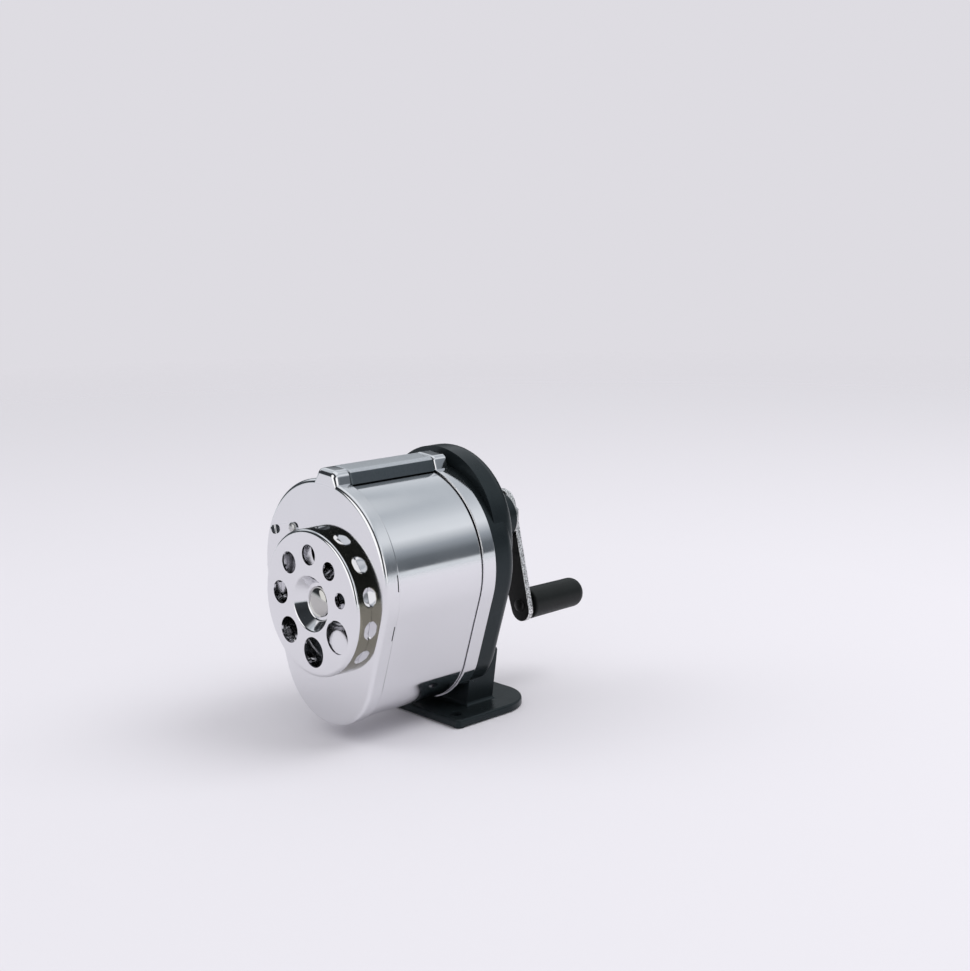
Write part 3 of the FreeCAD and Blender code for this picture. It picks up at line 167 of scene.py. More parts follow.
class CrankSizes(bpy.types.PropertyGroup):
    """Sizes of the crank arm, its pin, its knob and its nut."""

    arm_thickness: mm("Arm", "Thickness of the crank arm", 2.5)
    arm_eye: mm("Arm eye", "Round end of the arm at the shaft, radius", 6.9)
    arm_heel: mm("Arm heel", "Middle of the arm's round end beyond the shaft", 3.8)
    arm_tip: mm("Arm tip", "Round end of the arm at the knob, radius", 5.0)
    arm_toe: mm("Arm toe", "Middle of the arm's round end beyond the knob pin", 1.5)
    arm_edge: mm("Arm edge", "Rounded edges of the arm", 0.25)
    shaft_hole: mm("Shaft hole", "Hole for the shaft, radius", 3.25)
    pin_hole: mm("Pin hole", "Hole for the knob pin, radius", 2.25)
    pin_radius: mm("Pin", "Knob pin, radius", 2.2)
    pin_head: mm("Pin head", "Riveted head of the knob pin, radius", 2.6)
    pin_dome: mm("Pin dome", "Height of the knob pin's head", 1.1)
    pin_collar: mm("Pin collar", "Collar of the knob pin, radius", 4.4)
    pin_collar_height: mm("Collar height", "Height of the knob pin's collar", 1.0)
    pin_length: mm("Pin length", "Knob pin inside the knob", 22.0)
    nut_radius: mm("Nut", "Low crank nut across its corners, radius", 4.7)
    nut_height: mm("Nut height", "Height of the low crank nut", 2.4)
    nut_edge: mm("Nut edge", "Bevelled edges of the crank nut", 0.25)
    shaft_end: mm("Shaft end", "End of the shaft beyond the crank nut", 0.3)
    knob_fit: mm("Knob fit", "Running fit of the knob on its pin", 0.08)
    knob_gap: mm("Knob gap", "Knob from the pin's collar", 0.3)
    knob_root: mm("Knob root", "Knob's radius at the arm", 6.2)
    knob_swell: mm("Knob end", "Knob's radius behind its taper", 6.0)
    knob_taper: mm("Knob taper", "Tapered length of the knob", 21.0)
    knob_length: mm("Knob length", "Knob from end to end", 29.5)
    knob_round: mm("Knob rounding", "Rounded end of the knob", 4.5)
    knob_edge: mm("Knob edge", "Rounded edge of the knob at the arm", 0.9)


class Finishes(bpy.types.PropertyGroup):
    """Colours of the finishes and of the studio."""

    plate: rgb("Bright plate", "Nickel-chrome plate", (0.80, 0.80, 0.82))
    # Painted reflection: the rim's plate is darkened and tinted olive to paint in the dark reflection seen on the
    # rim
    rim: rgb("Dial rim", "Thin yellowish plate of the dial's rim", (0.27, 0.258, 0.205))
    # Colour halfway between the bright plate and the dial rim's darkened plate
    rivet: rgb("Dial rivet", "Dulled plate of the dial's rivet", (0.535, 0.529, 0.5125))
    satin: rgb("Satin strip", "Satin top of the ridge's strip", (0.68, 0.70, 0.73))
    # Painted shade: the flanks are the same satin metal as the top, darkened to paint in the reflection of a dark
    # room
    flank: rgb("Strip flanks", "Dull flanks of the ridge's strip", (0.13, 0.15, 0.165))
    enamel: rgb("Enamel", "Black enamel of the stand", (0.006, 0.008, 0.009))
    enamel_gloss: rgb("Enamel gloss", "Tint of the enamel's highlights", (0.72, 0.92, 1.0))
    arm: rgb("Arm", "Black faces of the crank arm", (0.006, 0.006, 0.006))
    bare: rgb("Bare edge", "Sheared edges of the crank arm", (0.92, 0.92, 0.92))
    knob: rgb("Knob", "Black plastic of the knob", (0.004, 0.005, 0.005))
    gear: rgb("Gear steel", "Oiled steel", (0.42, 0.42, 0.43))
    fastener: rgb("Fastener steel", "Bright zinc", (0.62, 0.62, 0.62))
    bronze: rgb("Bronze", "Sintered bush", (0.60, 0.44, 0.22))
    alloy: rgb("Cast alloy", "Carrier as cast", (0.55, 0.56, 0.57))
    cutter: rgb("Cutter steel", "Hardened steel", (0.30, 0.30, 0.31))
    paper: rgb("Backdrop", "Pale floor and backdrop", (0.73, 0.716, 0.76))


# Meshing
UPPER_STEPS = 112
LOWER_STEPS = 72
SIDE_STEPS = 24
TURN_STEPS = 96
RING_STEPS = 48
KNOB_STEPS = 72
DOME_STEPS = 16
FOOT_STEPS = 16
KNOB_END_STEPS = 12
BEAD_STEPS = 8
CORNER_STEPS = 6
BEND_STEPS = 5
EDGE_STEPS = 4
FINE_EDGE_STEPS = 3
FLOOR_STEPS = 128
# Rows along the dial's rim, and steps round it for each flute
RIM_ROWS = 26
FLUTE_STEPS = 30
# Power of a flute's section: the higher, the flatter its middle and the steeper its sides
FLUTE_POWER = 6
NUT_SIDES = 6
WELD = 1e-6
CREASE = radians(32)

# Narrow flat ring between a rounded edge and a flat front, so that the front shades evenly
FLAT_RING = 0.4 * MM
# The ridge's front end stands this far proud of the face, so that the two read as one sheet
FLUSH = 0.01 * MM
# Faces of the ridge's strip that point less upwards than this are its flanks, which get a darker copy of the satin
# finish as painted shade
PAINTED_FLANK_RISE = 0.52
# Faces within this distance of the dial's radius belong to the rim between the flutes, which gets a darker plate
# as a painted dark reflection
PAINTED_RIM_BAND = 0.05 * MM
# Faces of the crank arm that turn less to the front or the back than this are its bare edges
FACE_TURN = 0.75


def arc_corners(cx, cy, radius, start, end, steps=CORNER_STEPS):
    """Points of a rounded corner of a profile, from one angle to another."""
    points = []
    for i in range(steps + 1):
        angle = start + (end - start) * i / steps
        points.append((cx + radius * cos(angle), cy + radius * sin(angle)))
    return points


def rounded_side(front, rear, radius, steps):
    """Profile of (inset, y) from front to rear, with both edges rounded."""
    profile = arc_corners(radius, front + radius, radius, pi * 1.5, pi, steps)
    return profile + arc_corners(radius, rear - radius, radius, pi, pi / 2, steps)


def add_chain(bm, points, closed=False):
    """New vertices joined by edges, as a list of both."""
    verts = [bm.verts.new(point) for point in points]
    edges = [bm.edges.new(pair) for pair in zip(verts, verts[1:])]
    if closed:
        edges.append(bm.edges.new((verts[-1], verts[0])))
    return verts + edges


def only(geometry, kind):
    """The elements of one kind out of a list of geometry."""
    return [item for item in geometry if isinstance(item, kind)]


def carry_round(bm, profile, high, low, spread, closed=False):
    """Carry a profile of (inset, y) once round an outline of two round ends joined by tangent lines.

    The upper middle is the origin and the outline lies in the XZ plane."""
    lean = asin((high - low) / spread)
    right = Vector((cos(lean), 0, -sin(lean)))
    left = Vector((-right.x, 0, right.z))
    lower = Vector((0, 0, -spread))
    row = add_chain(bm, [right * (high - inset) + Vector((0, y, 0)) for inset, y in profile], closed)
    down = lower + left * (low - high)
    up = -(lower + right * (low - high))
    ends = (((0, 0, 0), pi + 2 * lean, UPPER_STEPS, down), (lower, pi - 2 * lean, LOWER_STEPS, up))
    for middle, angle, steps, side in ends:
        row = bmesh.ops.spin(bm, geom=row, cent=middle, axis=OVER_TOP, angle=angle, steps=steps)["geom_last"]
        for _ in range(SIDE_STEPS):
            row = carry_on(bm, row, side / SIDE_STEPS)
    bmesh.ops.remove_doubles(bm, verts=bm.verts, dist=WELD)


def carry_on(bm, row, step):
    """Extrude a row of edges straight along a step, and give back the new row."""
    new_row = bmesh.ops.extrude_edge_only(bm, edges=only(row, BMEdge))["geom"]
    new_verts = only(new_row, BMVert)
    bmesh.ops.translate(bm, verts=new_verts, vec=step)
    across = [edge for edge in only(new_row, BMEdge) if all(v in new_verts for v in edge.verts)]
    return new_verts + across


def turn_profile(bm, profile, steps=TURN_STEPS):
    """Turn a profile of (radius, y) about the Y axis."""
    row = add_chain(bm, [Vector((radius, y, 0)) for radius, y in profile])
    bmesh.ops.spin(bm, geom=row, cent=(0, 0, 0), axis=OVER_TOP, angle=2 * pi, steps=steps, use_merge=True)
    bmesh.ops.remove_doubles(bm, verts=bm.verts, dist=WELD)


def dome(radius, seat, height):
    """Profile of a domed head in front of its seat, from the crown to the rim."""
    angles = [pi / 2 * i / DOME_STEPS for i in range(DOME_STEPS + 1)]
    return [(radius * sin(angle), seat - height * cos(angle)) for angle in angles]


def add_ring(bm, middle, radius):
    """Circle of edges across Y."""
    turned = Matrix.Translation(middle) @ Matrix.Rotation(pi / 2, 4, "X")
    verts = bmesh.ops.create_circle(bm, segments=RING_STEPS, radius=radius, matrix=turned)["verts"]
    return list({edge for vert in verts for edge in vert.link_edges})


def open_edges(bm, y):
    """Edges of only one face that lie in the plane across Y at a place."""
    return [edge for edge in bm.edges if edge.is_boundary and all(abs(v.co.y - y) < WELD for v in edge.verts)]


def fill_flat(bm, edges):
    """Fill a flat outline and the holes in it."""
    bmesh.ops.triangle_fill(bm, edges=edges, use_beauty=True, normal=-ALONG_Y)


def face_outwards(bm):
    """Weld the mesh and turn every face outwards."""
    bmesh.ops.remove_doubles(bm, verts=bm.verts, dist=WELD)
    bmesh.ops.recalc_face_normals(bm, faces=bm.faces)


def thicken(bm, thickness):
    """Give a sheet that faces outwards its thickness."""
    bmesh.ops.solidify(bm, geom=bm.faces[:], thickness=thickness)
    bmesh.ops.recalc_face_normals(bm, faces=bm.faces)


def raise_block(bm, faces, step):
    """Make a block between faces and a copy of them that is moved by a step."""
    moved = bmesh.ops.extrude_face_region(bm, geom=faces, use_keep_orig=True)["geom"]
    bmesh.ops.translate(bm, verts=only(moved, BMVert), vec=step)
    bmesh.ops.recalc_face_normals(bm, faces=bm.faces)


def round_off(bm, parts, radius, steps=CORNER_STEPS, affect="EDGES"):
    """Round edges or corners."""
    bmesh.ops.bevel(bm, geom=parts, offset=radius, offset_type="OFFSET", segments=steps, profile=0.5,
                    affect=affect, material=-1)


def mesh_of(bm, name):
    """Mesh from a bmesh, which is used up."""
    mesh = bpy.data.meshes.new(name)
    bm.to_mesh(mesh)
    bm.free()
    return mesh


def add_object(name, data):
    """New object in the scene."""
    made = bpy.data.objects.new(name, data)
    bpy.context.scene.collection.objects.link(made)
    return made


def add_piece(bm, name, body, replaced, finishes, place=Matrix.Identity(4), slot=None):
    """Piece from a bmesh that is built at the origin and then put in its place."""
    bm.transform(place)
    add_mesh(mesh_of(bm, name), name, body, replaced, finishes, slot)


def add_turned(profile, name, body, replaced, finishes, place, steps=RING_STEPS, slot=None):
    """Piece turned from a profile of (radius, y)."""
    bm = bmesh.new()
    turn_profile(bm, profile, steps)
    face_outwards(bm)
    add_piece(bm, name, body, replaced, finishes, place, slot)


def add_mesh(mesh, name, body, replaced, finishes, slot=None):
    """Piece from a finished mesh, which is shaded smoothly unless it brings its own normals.

    It rides on a body and stands for a CAD node. The slot, which is its first finish unless one is given, is not
    used."""
    slot = slot or finishes[0]
    for finish in finishes:
        mesh.materials.append(finish_of(finish))
    piece = add_object(name, mesh)
    if not mesh.has_custom_normals:
        mesh.shade_smooth()
        mesh.set_sharp_from_angle(angle=CREASE)
        weighted = piece.modifiers.new("even_shading", "WEIGHTED_NORMAL")
        weighted.keep_sharp = True
    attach(piece, body)
    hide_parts(replaced)


def smooth_copy(node, name, body, slot):
    """Copy of a CAD node with the node's own smooth normals."""
    mesh = frame["nodes"][node].data.copy()
    mesh.materials.clear()
    add_mesh(mesh, name, body, node, [slot])


# Finishes

# Range of a noise that most of its values lie in
NOISE_RANGE = (0.3, 0.7)
# Colour sockets of a mix node: two inputs and the output
MIX_FIRST = 6
MIX_SECOND = 7
MIX_RESULT = 2


def set_inputs(owner, node, inputs):
    """Give inputs of a node, by name or number, an output to follow or a value."""
    for key, source in inputs.items():
        if isinstance(source, bpy.types.NodeSocket):
            owner.node_tree.links.new(source, node.inputs[key])
        else:
            node.inputs[key].default_value = source


def add_node(owner, kind, inputs=None, **settings):
    """Node in the tree of a material or a world."""
    node = owner.node_tree.nodes.new(kind)
    for name, value in settings.items():
        setattr(node, name, value)
    set_inputs(owner, node, inputs or {})
    return node


def add_noise(material, scale, detail):
    """Noise on the object's own coordinates, per metre."""
    coords = add_node(material, "ShaderNodeTexCoord").outputs["Object"]
    inputs = {"Vector": coords, "Scale": scale, "Detail": detail}
    return add_node(material, "ShaderNodeTexNoise", inputs).outputs["Fac"]


def spread_values(owner, value, low, high, source=NOISE_RANGE, way="LINEAR"):
    """Map a range of a value onto another range."""
    inputs = {"Value": value, "From Min": source[0], "From Max": source[1], "To Min": low, "To Max": high}
    return add_node(owner, "ShaderNodeMapRange", inputs, interpolation_type=way).outputs["Result"]


def mixed(owner, factor, first, second):
    """Mix of two colours, each a socket or a colour."""
    inputs = {"Factor": factor, MIX_FIRST: first, MIX_SECOND: second}
    return add_node(owner, "ShaderNodeMix", inputs, data_type="RGBA").outputs[MIX_RESULT]


def new_material(name):
    """Material with a main shader and nothing else."""
    material = bpy.data.materials.new(name)
    material.use_nodes = True
    return material


def set_shader(material, inputs):
    """Set inputs of a material's main shader."""
    set_inputs(material, material.node_tree.nodes["Principled BSDF"], inputs)


def make_finish(name, colour, rough, haze, shades, stain, grain, relief, gloss=None, tint=None, edges=(0, 1)):
    """Worn surface whose roughness, shade and relief follow three noises: haze, stain and grain.

    The colour, and the tint of the highlights, are named among the finishes. The roughness is a plain
    value and the range of the haze. A noise is a scale and a detail. The shades are shares of the colour,
    and change between two edges of the stain. The relief is a strength and a depth. Paint and plastic
    have a gloss, and metal has none."""
    colours = bpy.context.scene.sharpener_finishes
    base = getattr(colours, colour)
    plain, smooth, dull = rough
    strength, depth = relief
    material = new_material(name)
    set_shader(material, {"Base Color": (*base, 1), "Roughness": plain, "Metallic": 1})
    if gloss:
        set_shader(material, {"Metallic": 0, "Specular IOR Level": gloss})
    if tint:
        set_shader(material, {"Specular Tint": (*getattr(colours, tint), 1)})
    first, second = [(*(channel * shade for channel in base), 1) for shade in shades]
    tone = spread_values(material, add_noise(material, *stain), 0, 1, edges)
    heights = {"Strength": strength, "Distance": depth, "Height": add_noise(material, *grain)}
    set_shader(material, {
        "Base Color": mixed(material, tone, first, second),
        "Roughness": spread_values(material, add_noise(material, *haze), smooth, dull),
        "Normal": add_node(material, "ShaderNodeBump", heights).outputs["Normal"],
    })
    return material


def plain_plate(colour, rough):
    """Plate that mirrors less clearly, with a fine haze."""
    return dict(colour=colour, rough=(rough, rough * 0.8, rough * 1.2), haze=(160, 5), shades=(0.9, 1),
                stain=(160, 5), grain=(900, 2), relief=(0.02, 0.0001))


def satin(colour):
    """Stippled satin metal."""
    return dict(colour=colour, rough=(0.4, 0.32, 0.5), haze=(2600, 2), shades=(0.75, 1), stain=(1400, 3),
                grain=(2600, 2), relief=(0.35, 0.00008))


def machined(colour, rough, scale):
    """Worked metal with fine marks and a little staining."""
    return dict(colour=colour, rough=(rough, rough * 0.75, rough * 1.3), haze=(scale, 4), shades=(0.72, 1),
                stain=(scale / 6, 5), grain=(scale, 4), relief=(0.15, 0.0001))


LOOKS = {
    # Mirror plate with faint haze and handling marks
    "bright_plate": dict(colour="plate", rough=(0.1, 0.06, 0.15), haze=(60, 6), shades=(0.93, 1),
                         stain=(25, 4), grain=(900, 2), relief=(0.02, 0.0001)),
    # Darker plate of the dial's rim, as a painted dark reflection
    "rim_plate": plain_plate("rim", 0.08),
    "rivet_plate": plain_plate("rivet", 0.1),
    "lip_plate": plain_plate("plate", 0.17),
    "satin_strip": satin("satin"),
    # Darker copy of the satin for the strip's flanks, as painted shade
    "strip_flank": satin("flank"),
    # Satin enamel with a fine orange-peel surface and dust-grey specks
    "black_enamel": dict(colour="enamel", tint="enamel_gloss", gloss=0.28, rough=(0.35, 0.26, 0.38),
                         haze=(120, 5), shades=(1, 1.8), stain=(90, 5), grain=(700, 3),
                         relief=(0.12, 0.0002)),
    # Black finish of the arm's faces, with rubbed spots
    "arm_black": dict(colour="arm", gloss=0.3, rough=(0.4, 0.3, 0.5), haze=(300, 6), shades=(1, 3),
                      stain=(300, 6), grain=(1500, 2), relief=(0.1, 0.0001)),
    # Sheared steel, bright and speckled
    "bare_edge": dict(colour="bare", rough=(0.4, 0.3, 0.55), haze=(1900, 2), shades=(0.32, 1),
                      stain=(1900, 2), edges=(0.43, 0.53), grain=(1900, 2), relief=(0.4, 0.0001)),
    # Moulded plastic with a fine matt grain
    "knob_black": dict(colour="knob", gloss=0.25, rough=(0.45, 0.38, 0.55), haze=(1800, 3), shades=(1, 2),
                       stain=(150, 4), grain=(1800, 3), relief=(0.15, 0.0001)),
    "gear_steel": machined("gear", 0.34, 900),
    "fastener_steel": machined("fastener", 0.3, 1100),
    "bush_bronze": machined("bronze", 0.42, 1500),
    "cast_alloy": machined("alloy", 0.45, 700),
    "cutter_steel": machined("cutter", 0.32, 1300),
}


def finish_of(slot):
    """The finish with this name, made when it is first asked for."""
    name = "finish_" + slot
    return bpy.data.materials.get(name) or make_finish(name, **LOOKS[slot])


# Drum, cap, ridge and band
def egg(bm, profile, sizes, closed=False):
    """Carry a profile of (inset, y) round the egg outline."""
    carry_round(bm, profile, sizes.upper_radius, sizes.lower_radius, sizes.spread, closed)


def add_ridge(bm, sizes, front, rear, step, rounding, sink):
    """Closed block of the top ridge, curved underneath and sunk a little into the egg outline."""
    top = sizes.upper_radius + sizes.ridge_height - step
    narrow = sizes.ridge_top / 2 - step
    foot_radius = sizes.upper_radius - sink
    wide = sizes.ridge_base / 2 - step
    half_turn = asin(wide / foot_radius)
    block = bmesh.new()
    start = add_chain(block, [Vector((wide, front, foot_radius * cos(half_turn)))])
    arc = bmesh.ops.spin(block, geom=start, cent=(0, front, 0), axis=OVER_TOP, angle=2 * half_turn,
                         steps=FOOT_STEPS)
    left = only(arc["geom_last"], BMVert)[0]
    corners = [block.verts.new((x, front, top)) for x in (-narrow, narrow)]
    for pair in ((left, corners[0]), (corners[0], corners[1]), (corners[1], start[0])):
        block.edges.new(pair)
    side = bmesh.ops.contextual_create(block, geom=block.edges[:])["faces"]
    raise_block(block, side, (0, rear - front, 0))
    upper = [edge for edge in block.edges if max(v.co.z for v in edge.verts) > top - WELD
             and min(v.co.y for v in edge.verts) < rear - WELD]
    round_off(block, upper, rounding)
    lean = Matrix.Rotation(sizes.ridge_turn, 3, "Y")
    bmesh.ops.rotate(block, verts=block.verts, cent=(0, 0, 0), matrix=lean)
    mesh = mesh_of(block, "ridge_block")
    bm.from_mesh(mesh)
    bpy.data.meshes.remove(mesh)


class SHARPENER_OT_drum(bpy.types.Operator):
    """Build the drum, its front cap, the ridge on top and the rear band"""

    bl_idname = "sharpener.drum"
    bl_label = "Drum"

    def execute(self, context):
        sizes = context.scene.sharpener_drum
        place = Matrix.Translation((0, 0, AXIS_Z - sizes.drop))
        self.build_cap(sizes, context.scene.sharpener_dial, place)

        outer = sizes.sheet + sizes.slip
        inner = outer + sizes.sheet
        profile = [(outer, DRUM_FRONT_Y), (outer, SEAM_Y), (inner, SEAM_Y), (inner, DRUM_FRONT_Y)]
        shell = bmesh.new()
        egg(shell, profile, sizes, True)
        face_outwards(shell)
        add_piece(shell, "drum_skin", "receptacle", "drum_shell", ["bright_plate"], place)

        cover = bmesh.new()
        front = LIP_Y + sizes.slip
        add_ridge(cover, sizes, front, SEAM_Y, sizes.cover_step, sizes.ridge_round, sizes.sheet / 2)
        # Faces that point upwards get the satin, and the flanks get its darker copy as painted shade
        for face in cover.faces:
            face.material_index = 0 if face.normal.z > PAINTED_FLANK_RISE else 1
        add_piece(cover, "ridge_strip", "receptacle", "ridge_cover", ["satin_strip", "strip_flank"], place)

        self.build_band(sizes, place, inner)
        return {"FINISHED"}

    def build_cap(self, sizes, dial, place):
        """Pressed cap: flat face with its holes, rounded edge, lip and the front end of the ridge."""
        round_y = FACE_Y + sizes.face_round
        profile = [(sizes.face_round + FLAT_RING, FACE_Y)]
        profile += arc_corners(sizes.face_round, round_y, sizes.face_round, pi * 1.5, pi)
        slit_rear = LIP_Y - sizes.slit_edge
        slit_front = slit_rear - sizes.slit_width
        profile += [(0, slit_front), (0, slit_rear)]
        profile += arc_corners(sizes.lip_round, LIP_Y - sizes.lip_round, sizes.lip_round, pi, pi / 2)
        cap = bmesh.new()
        egg(cap, profile, sizes)
        rim = open_edges(cap, FACE_Y)
        holes = add_ring(cap, Vector((0, FACE_Y, sizes.drop)), sizes.pencil_bore)
        holes += add_ring(cap, Vector((0, FACE_Y, sizes.drop - dial.pitch)), dial.rivet_radius + sizes.slip)
        fill_flat(cap, rim + holes)
        face_outwards(cap)
        thicken(cap, sizes.sheet)
        for face in cap.faces:
            face.material_index = 1 if face.calc_center_median().y > round_y else 0
        self.cut_slits(cap, sizes, slit_front, slit_rear)
        add_ridge(cap, sizes, FACE_Y - FLUSH, LIP_Y, 0, sizes.nose_round, sizes.face_round + sizes.slip)
        # The black finish is painted shade inside the lip's slits
        finishes = ["bright_plate", "lip_plate", "arm_black"]
        add_piece(cap, "face_cap", "receptacle", "front_cap", finishes, place)

    def cut_slits(self, cap, sizes, front, rear):
        """Press two slits into each side of the lip; their faces get the black finish as painted shade."""
        cap.normal_update()
        chosen = []
        for face in cap.faces:
            middle = face.calc_center_median()
            below = sizes.drop - middle.z
            near = min(abs(below - sizes.slit_upper), abs(below - sizes.slit_lower)) < sizes.slit_length / 2
            if near and front < middle.y < rear and face.normal.x * middle.x > 0:
                chosen.append(face)
        pressed = bmesh.ops.extrude_face_region(cap, geom=chosen)["geom"]
        # The slits' walls and floors get the black finish as painted shade
        for vert in only(pressed, BMVert):
            vert.co.x -= copysign(sizes.slit_depth, vert.co.x)
            for face in vert.link_faces:
                face.material_index = 2
        bmesh.ops.delete(cap, geom=chosen, context="FACES")

    def build_band(self, sizes, place, drum_inside):
        """Rear band: outer ring, flange against the stand and spigot inside the drum."""
        front = SEAM_Y + sizes.seam_gap
        spigot = drum_inside + sizes.spigot_slip
        mouth = spigot + sizes.sheet
        flange_y = BAND_REAR_Y - sizes.sheet
        profile = rounded_side(front, BAND_REAR_Y, sizes.edge_round, EDGE_STEPS)
        profile += [(mouth + sizes.flange, BAND_REAR_Y), (mouth + sizes.flange, flange_y), (mouth, flange_y),
                    (mouth, SPIGOT_Y), (spigot, SPIGOT_Y), (spigot, front)]
        band = bmesh.new()
        egg(band, profile, sizes, True)
        face_outwards(band)
        add_ridge(band, sizes, front, BAND_REAR_Y, 0, sizes.ridge_round, sizes.sheet / 2)
        add_piece(band, "bright_band", "stand", "rear_band", ["bright_plate"], place)


# Dial, rivet and index spring
class SHARPENER_OT_dial(bpy.types.Operator):
    """Build the selector dial, the rivet that it turns on and the index spring"""

    bl_idname = "sharpener.dial"
    bl_label = "Dial"

    def execute(self, context):
        sizes = context.scene.sharpener_dial
        place = Matrix.Translation((PIVOT.x, 0, PIVOT.z))
        self.build_dial(sizes, place)
        self.build_rivet(sizes, place)
        self.build_spring(sizes, place)
        return {"FINISHED"}

    def hole_places(self, sizes):
        """Middle and radius of each pencil hole, with equal webs between the holes."""
        holes = list(sizes.holes)
        web = (2 * pi * sizes.pitch - sum(holes)) / len(holes)
        arc = 0
        for i, diameter in enumerate(holes):
            if i:
                arc += (holes[i - 1] + diameter) / 2 + web
            angle = pi / 2 + arc / sizes.pitch
            middle = Vector((sizes.pitch * cos(angle), DIAL_FRONT_Y, sizes.pitch * sin(angle)))
            yield middle, diameter / 2

    def build_dial(self, sizes, place):
        """Pressed cup: fluted rim, rounded front edge, flat front with the holes, dished middle."""
        bead = sizes.bead
        floor_y = DIAL_FRONT_Y + sizes.dish_depth
        front_rim = DIAL_FRONT_Y + bead
        rear_rim = FACE_Y - sizes.rim_gap
        rim = [(sizes.radius, rear_rim + (front_rim - rear_rim) * i / RIM_ROWS) for i in range(RIM_ROWS)]
        rim += arc_corners(sizes.radius - bead, front_rim, bead, 0, -pi / 2, BEAD_STEPS)
        rim.append((sizes.radius - bead - FLAT_RING, DIAL_FRONT_Y))
        dial = bmesh.new()
        turn_profile(dial, rim, sizes.flutes * FLUTE_STEPS)
        self.press_flutes(dial, sizes)

        slope = atan2(sizes.dish_depth, sizes.dish_outer - sizes.dish_inner)
        bend = sizes.dish_round
        lip = bend * tan(slope / 2)
        dish = [(sizes.dish_outer + lip + FLAT_RING, DIAL_FRONT_Y)]
        dish += arc_corners(sizes.dish_outer + lip, DIAL_FRONT_Y + bend, bend, -pi / 2, -pi / 2 - slope)
        dish += arc_corners(sizes.dish_inner - lip, floor_y - bend, bend, pi / 2 - slope, pi / 2)
        dish.append((sizes.rivet_radius + sizes.rivet_gap, floor_y))
        turn_profile(dial, dish)
        edges = open_edges(dial, DIAL_FRONT_Y)
        for middle, radius in self.hole_places(sizes):
            edges += add_ring(dial, middle, radius)
        fill_flat(dial, edges)
        face_outwards(dial)
        thicken(dial, sizes.sheet)
        # The rim between the flutes gets the darker plate as a painted dark reflection
        for face in dial.faces:
            middle = face.calc_center_median()
            if middle.y > front_rim and hypot(middle.x, middle.z) > sizes.radius - PAINTED_RIM_BAND:
                face.material_index = 1
        add_piece(dial, "selector_dial", "dial", "dial", ["bright_plate", "rim_plate"], place)

    def press_flutes(self, dial, sizes):
        """Push the rim in towards its rear edge at each flute, within half an oval."""
        step = 2 * pi / sizes.flutes
        for vert in dial.verts:
            back = FACE_Y - sizes.rim_gap - vert.co.y
            turn = (atan2(vert.co.z, vert.co.x) - sizes.flute_start) % step
            aside = min(turn, step - turn) * sizes.radius
            along = max(0, back / sizes.flute_length)
            if along >= 1:
                continue
            half = sizes.flute_width * sqrt(1 - along ** 2)
            if aside < half:
                press = (1 - along) * (1 - (aside / half) ** FLUTE_POWER)
                share = 1 - sizes.flute_depth * press / sizes.radius
                vert.co.x *= share
                vert.co.z *= share

    def build_rivet(self, sizes, place):
        """Rivet with a smooth domed head and an upset tail inside the cap."""
        seat = DIAL_FRONT_Y + sizes.dish_depth - sizes.rivet_gap
        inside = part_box("dial_rivet")[1].y
        upset = sizes.rivet_radius + sizes.rivet_tail
        profile = dome(sizes.rivet_head, seat, sizes.rivet_dome) + [
            (sizes.rivet_radius, seat), (sizes.rivet_radius, inside - sizes.rivet_tail),
            (upset, inside - sizes.rivet_tail), (upset, inside), (0, inside)]
        add_turned(profile, "pivot_rivet", "receptacle", "dial_rivet", ["rivet_plate"], place, TURN_STEPS,
                   "bright_plate")

    def build_spring(self, sizes, place):
        """Strip on the face, bent up into a rounded finger tab, and the domed rivet that holds it."""
        bend = sizes.spring_bend + sizes.spring_sheet
        tip_y = FACE_Y - sizes.spring_rise
        path = [(-sizes.spring_end, FACE_Y)]
        path += arc_corners(sizes.spring_foot - bend, FACE_Y - bend, bend, pi / 2, 0, BEND_STEPS)
        path.append((sizes.spring_foot, tip_y))
        strip = bmesh.new()
        half = sizes.spring_width / 2
        row = add_chain(strip, [Vector((x, y, -half)) for x, y in path])
        carry_on(strip, row, Vector((0, 0, 2 * half)))
        corners = [v for v in strip.verts if v.co.y < tip_y + WELD or v.co.x < WELD - sizes.spring_end]
        round_off(strip, corners, sizes.spring_round, affect="VERTICES")
        bmesh.ops.recalc_face_normals(strip, faces=strip.faces)
        if sum(face.normal.y for face in strip.faces) < 0:
            bmesh.ops.reverse_faces(strip, faces=strip.faces[:])
        thicken(strip, sizes.spring_sheet)
        reach = Vector((cos(sizes.spring_angle), 0, sin(sizes.spring_angle))) * sizes.spring_reach
        seat = place @ Matrix.Translation(reach)
        turned = seat @ Matrix.Rotation(-sizes.spring_way, 4, "Y")
        add_piece(strip, "index_strip", "receptacle", "index_spring", ["bright_plate"], turned)

        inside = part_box("index_rivet")[1].y
        inner_head = inside - sizes.index_dome
        profile = dome(sizes.index_head, FACE_Y - sizes.spring_sheet, sizes.index_dome) + [
            (sizes.index_shank, FACE_Y - sizes.spring_sheet), (sizes.index_shank, inner_head),
            (sizes.index_head, inner_head), (sizes.index_head, inside), (0, inside)]
        add_turned(profile, "domed_index_rivet", "receptacle", "index_rivet", ["fastener_steel"], seat)


# Stand
class SHARPENER_OT_stand(bpy.types.Operator):
    """Finish the black casting"""

    bl_idname = "sharpener.stand"
    bl_label = "Stand"

    def execute(self, context):
        smooth_copy("stand", "black_casting", "stand", "black_enamel")
        return {"FINISHED"}


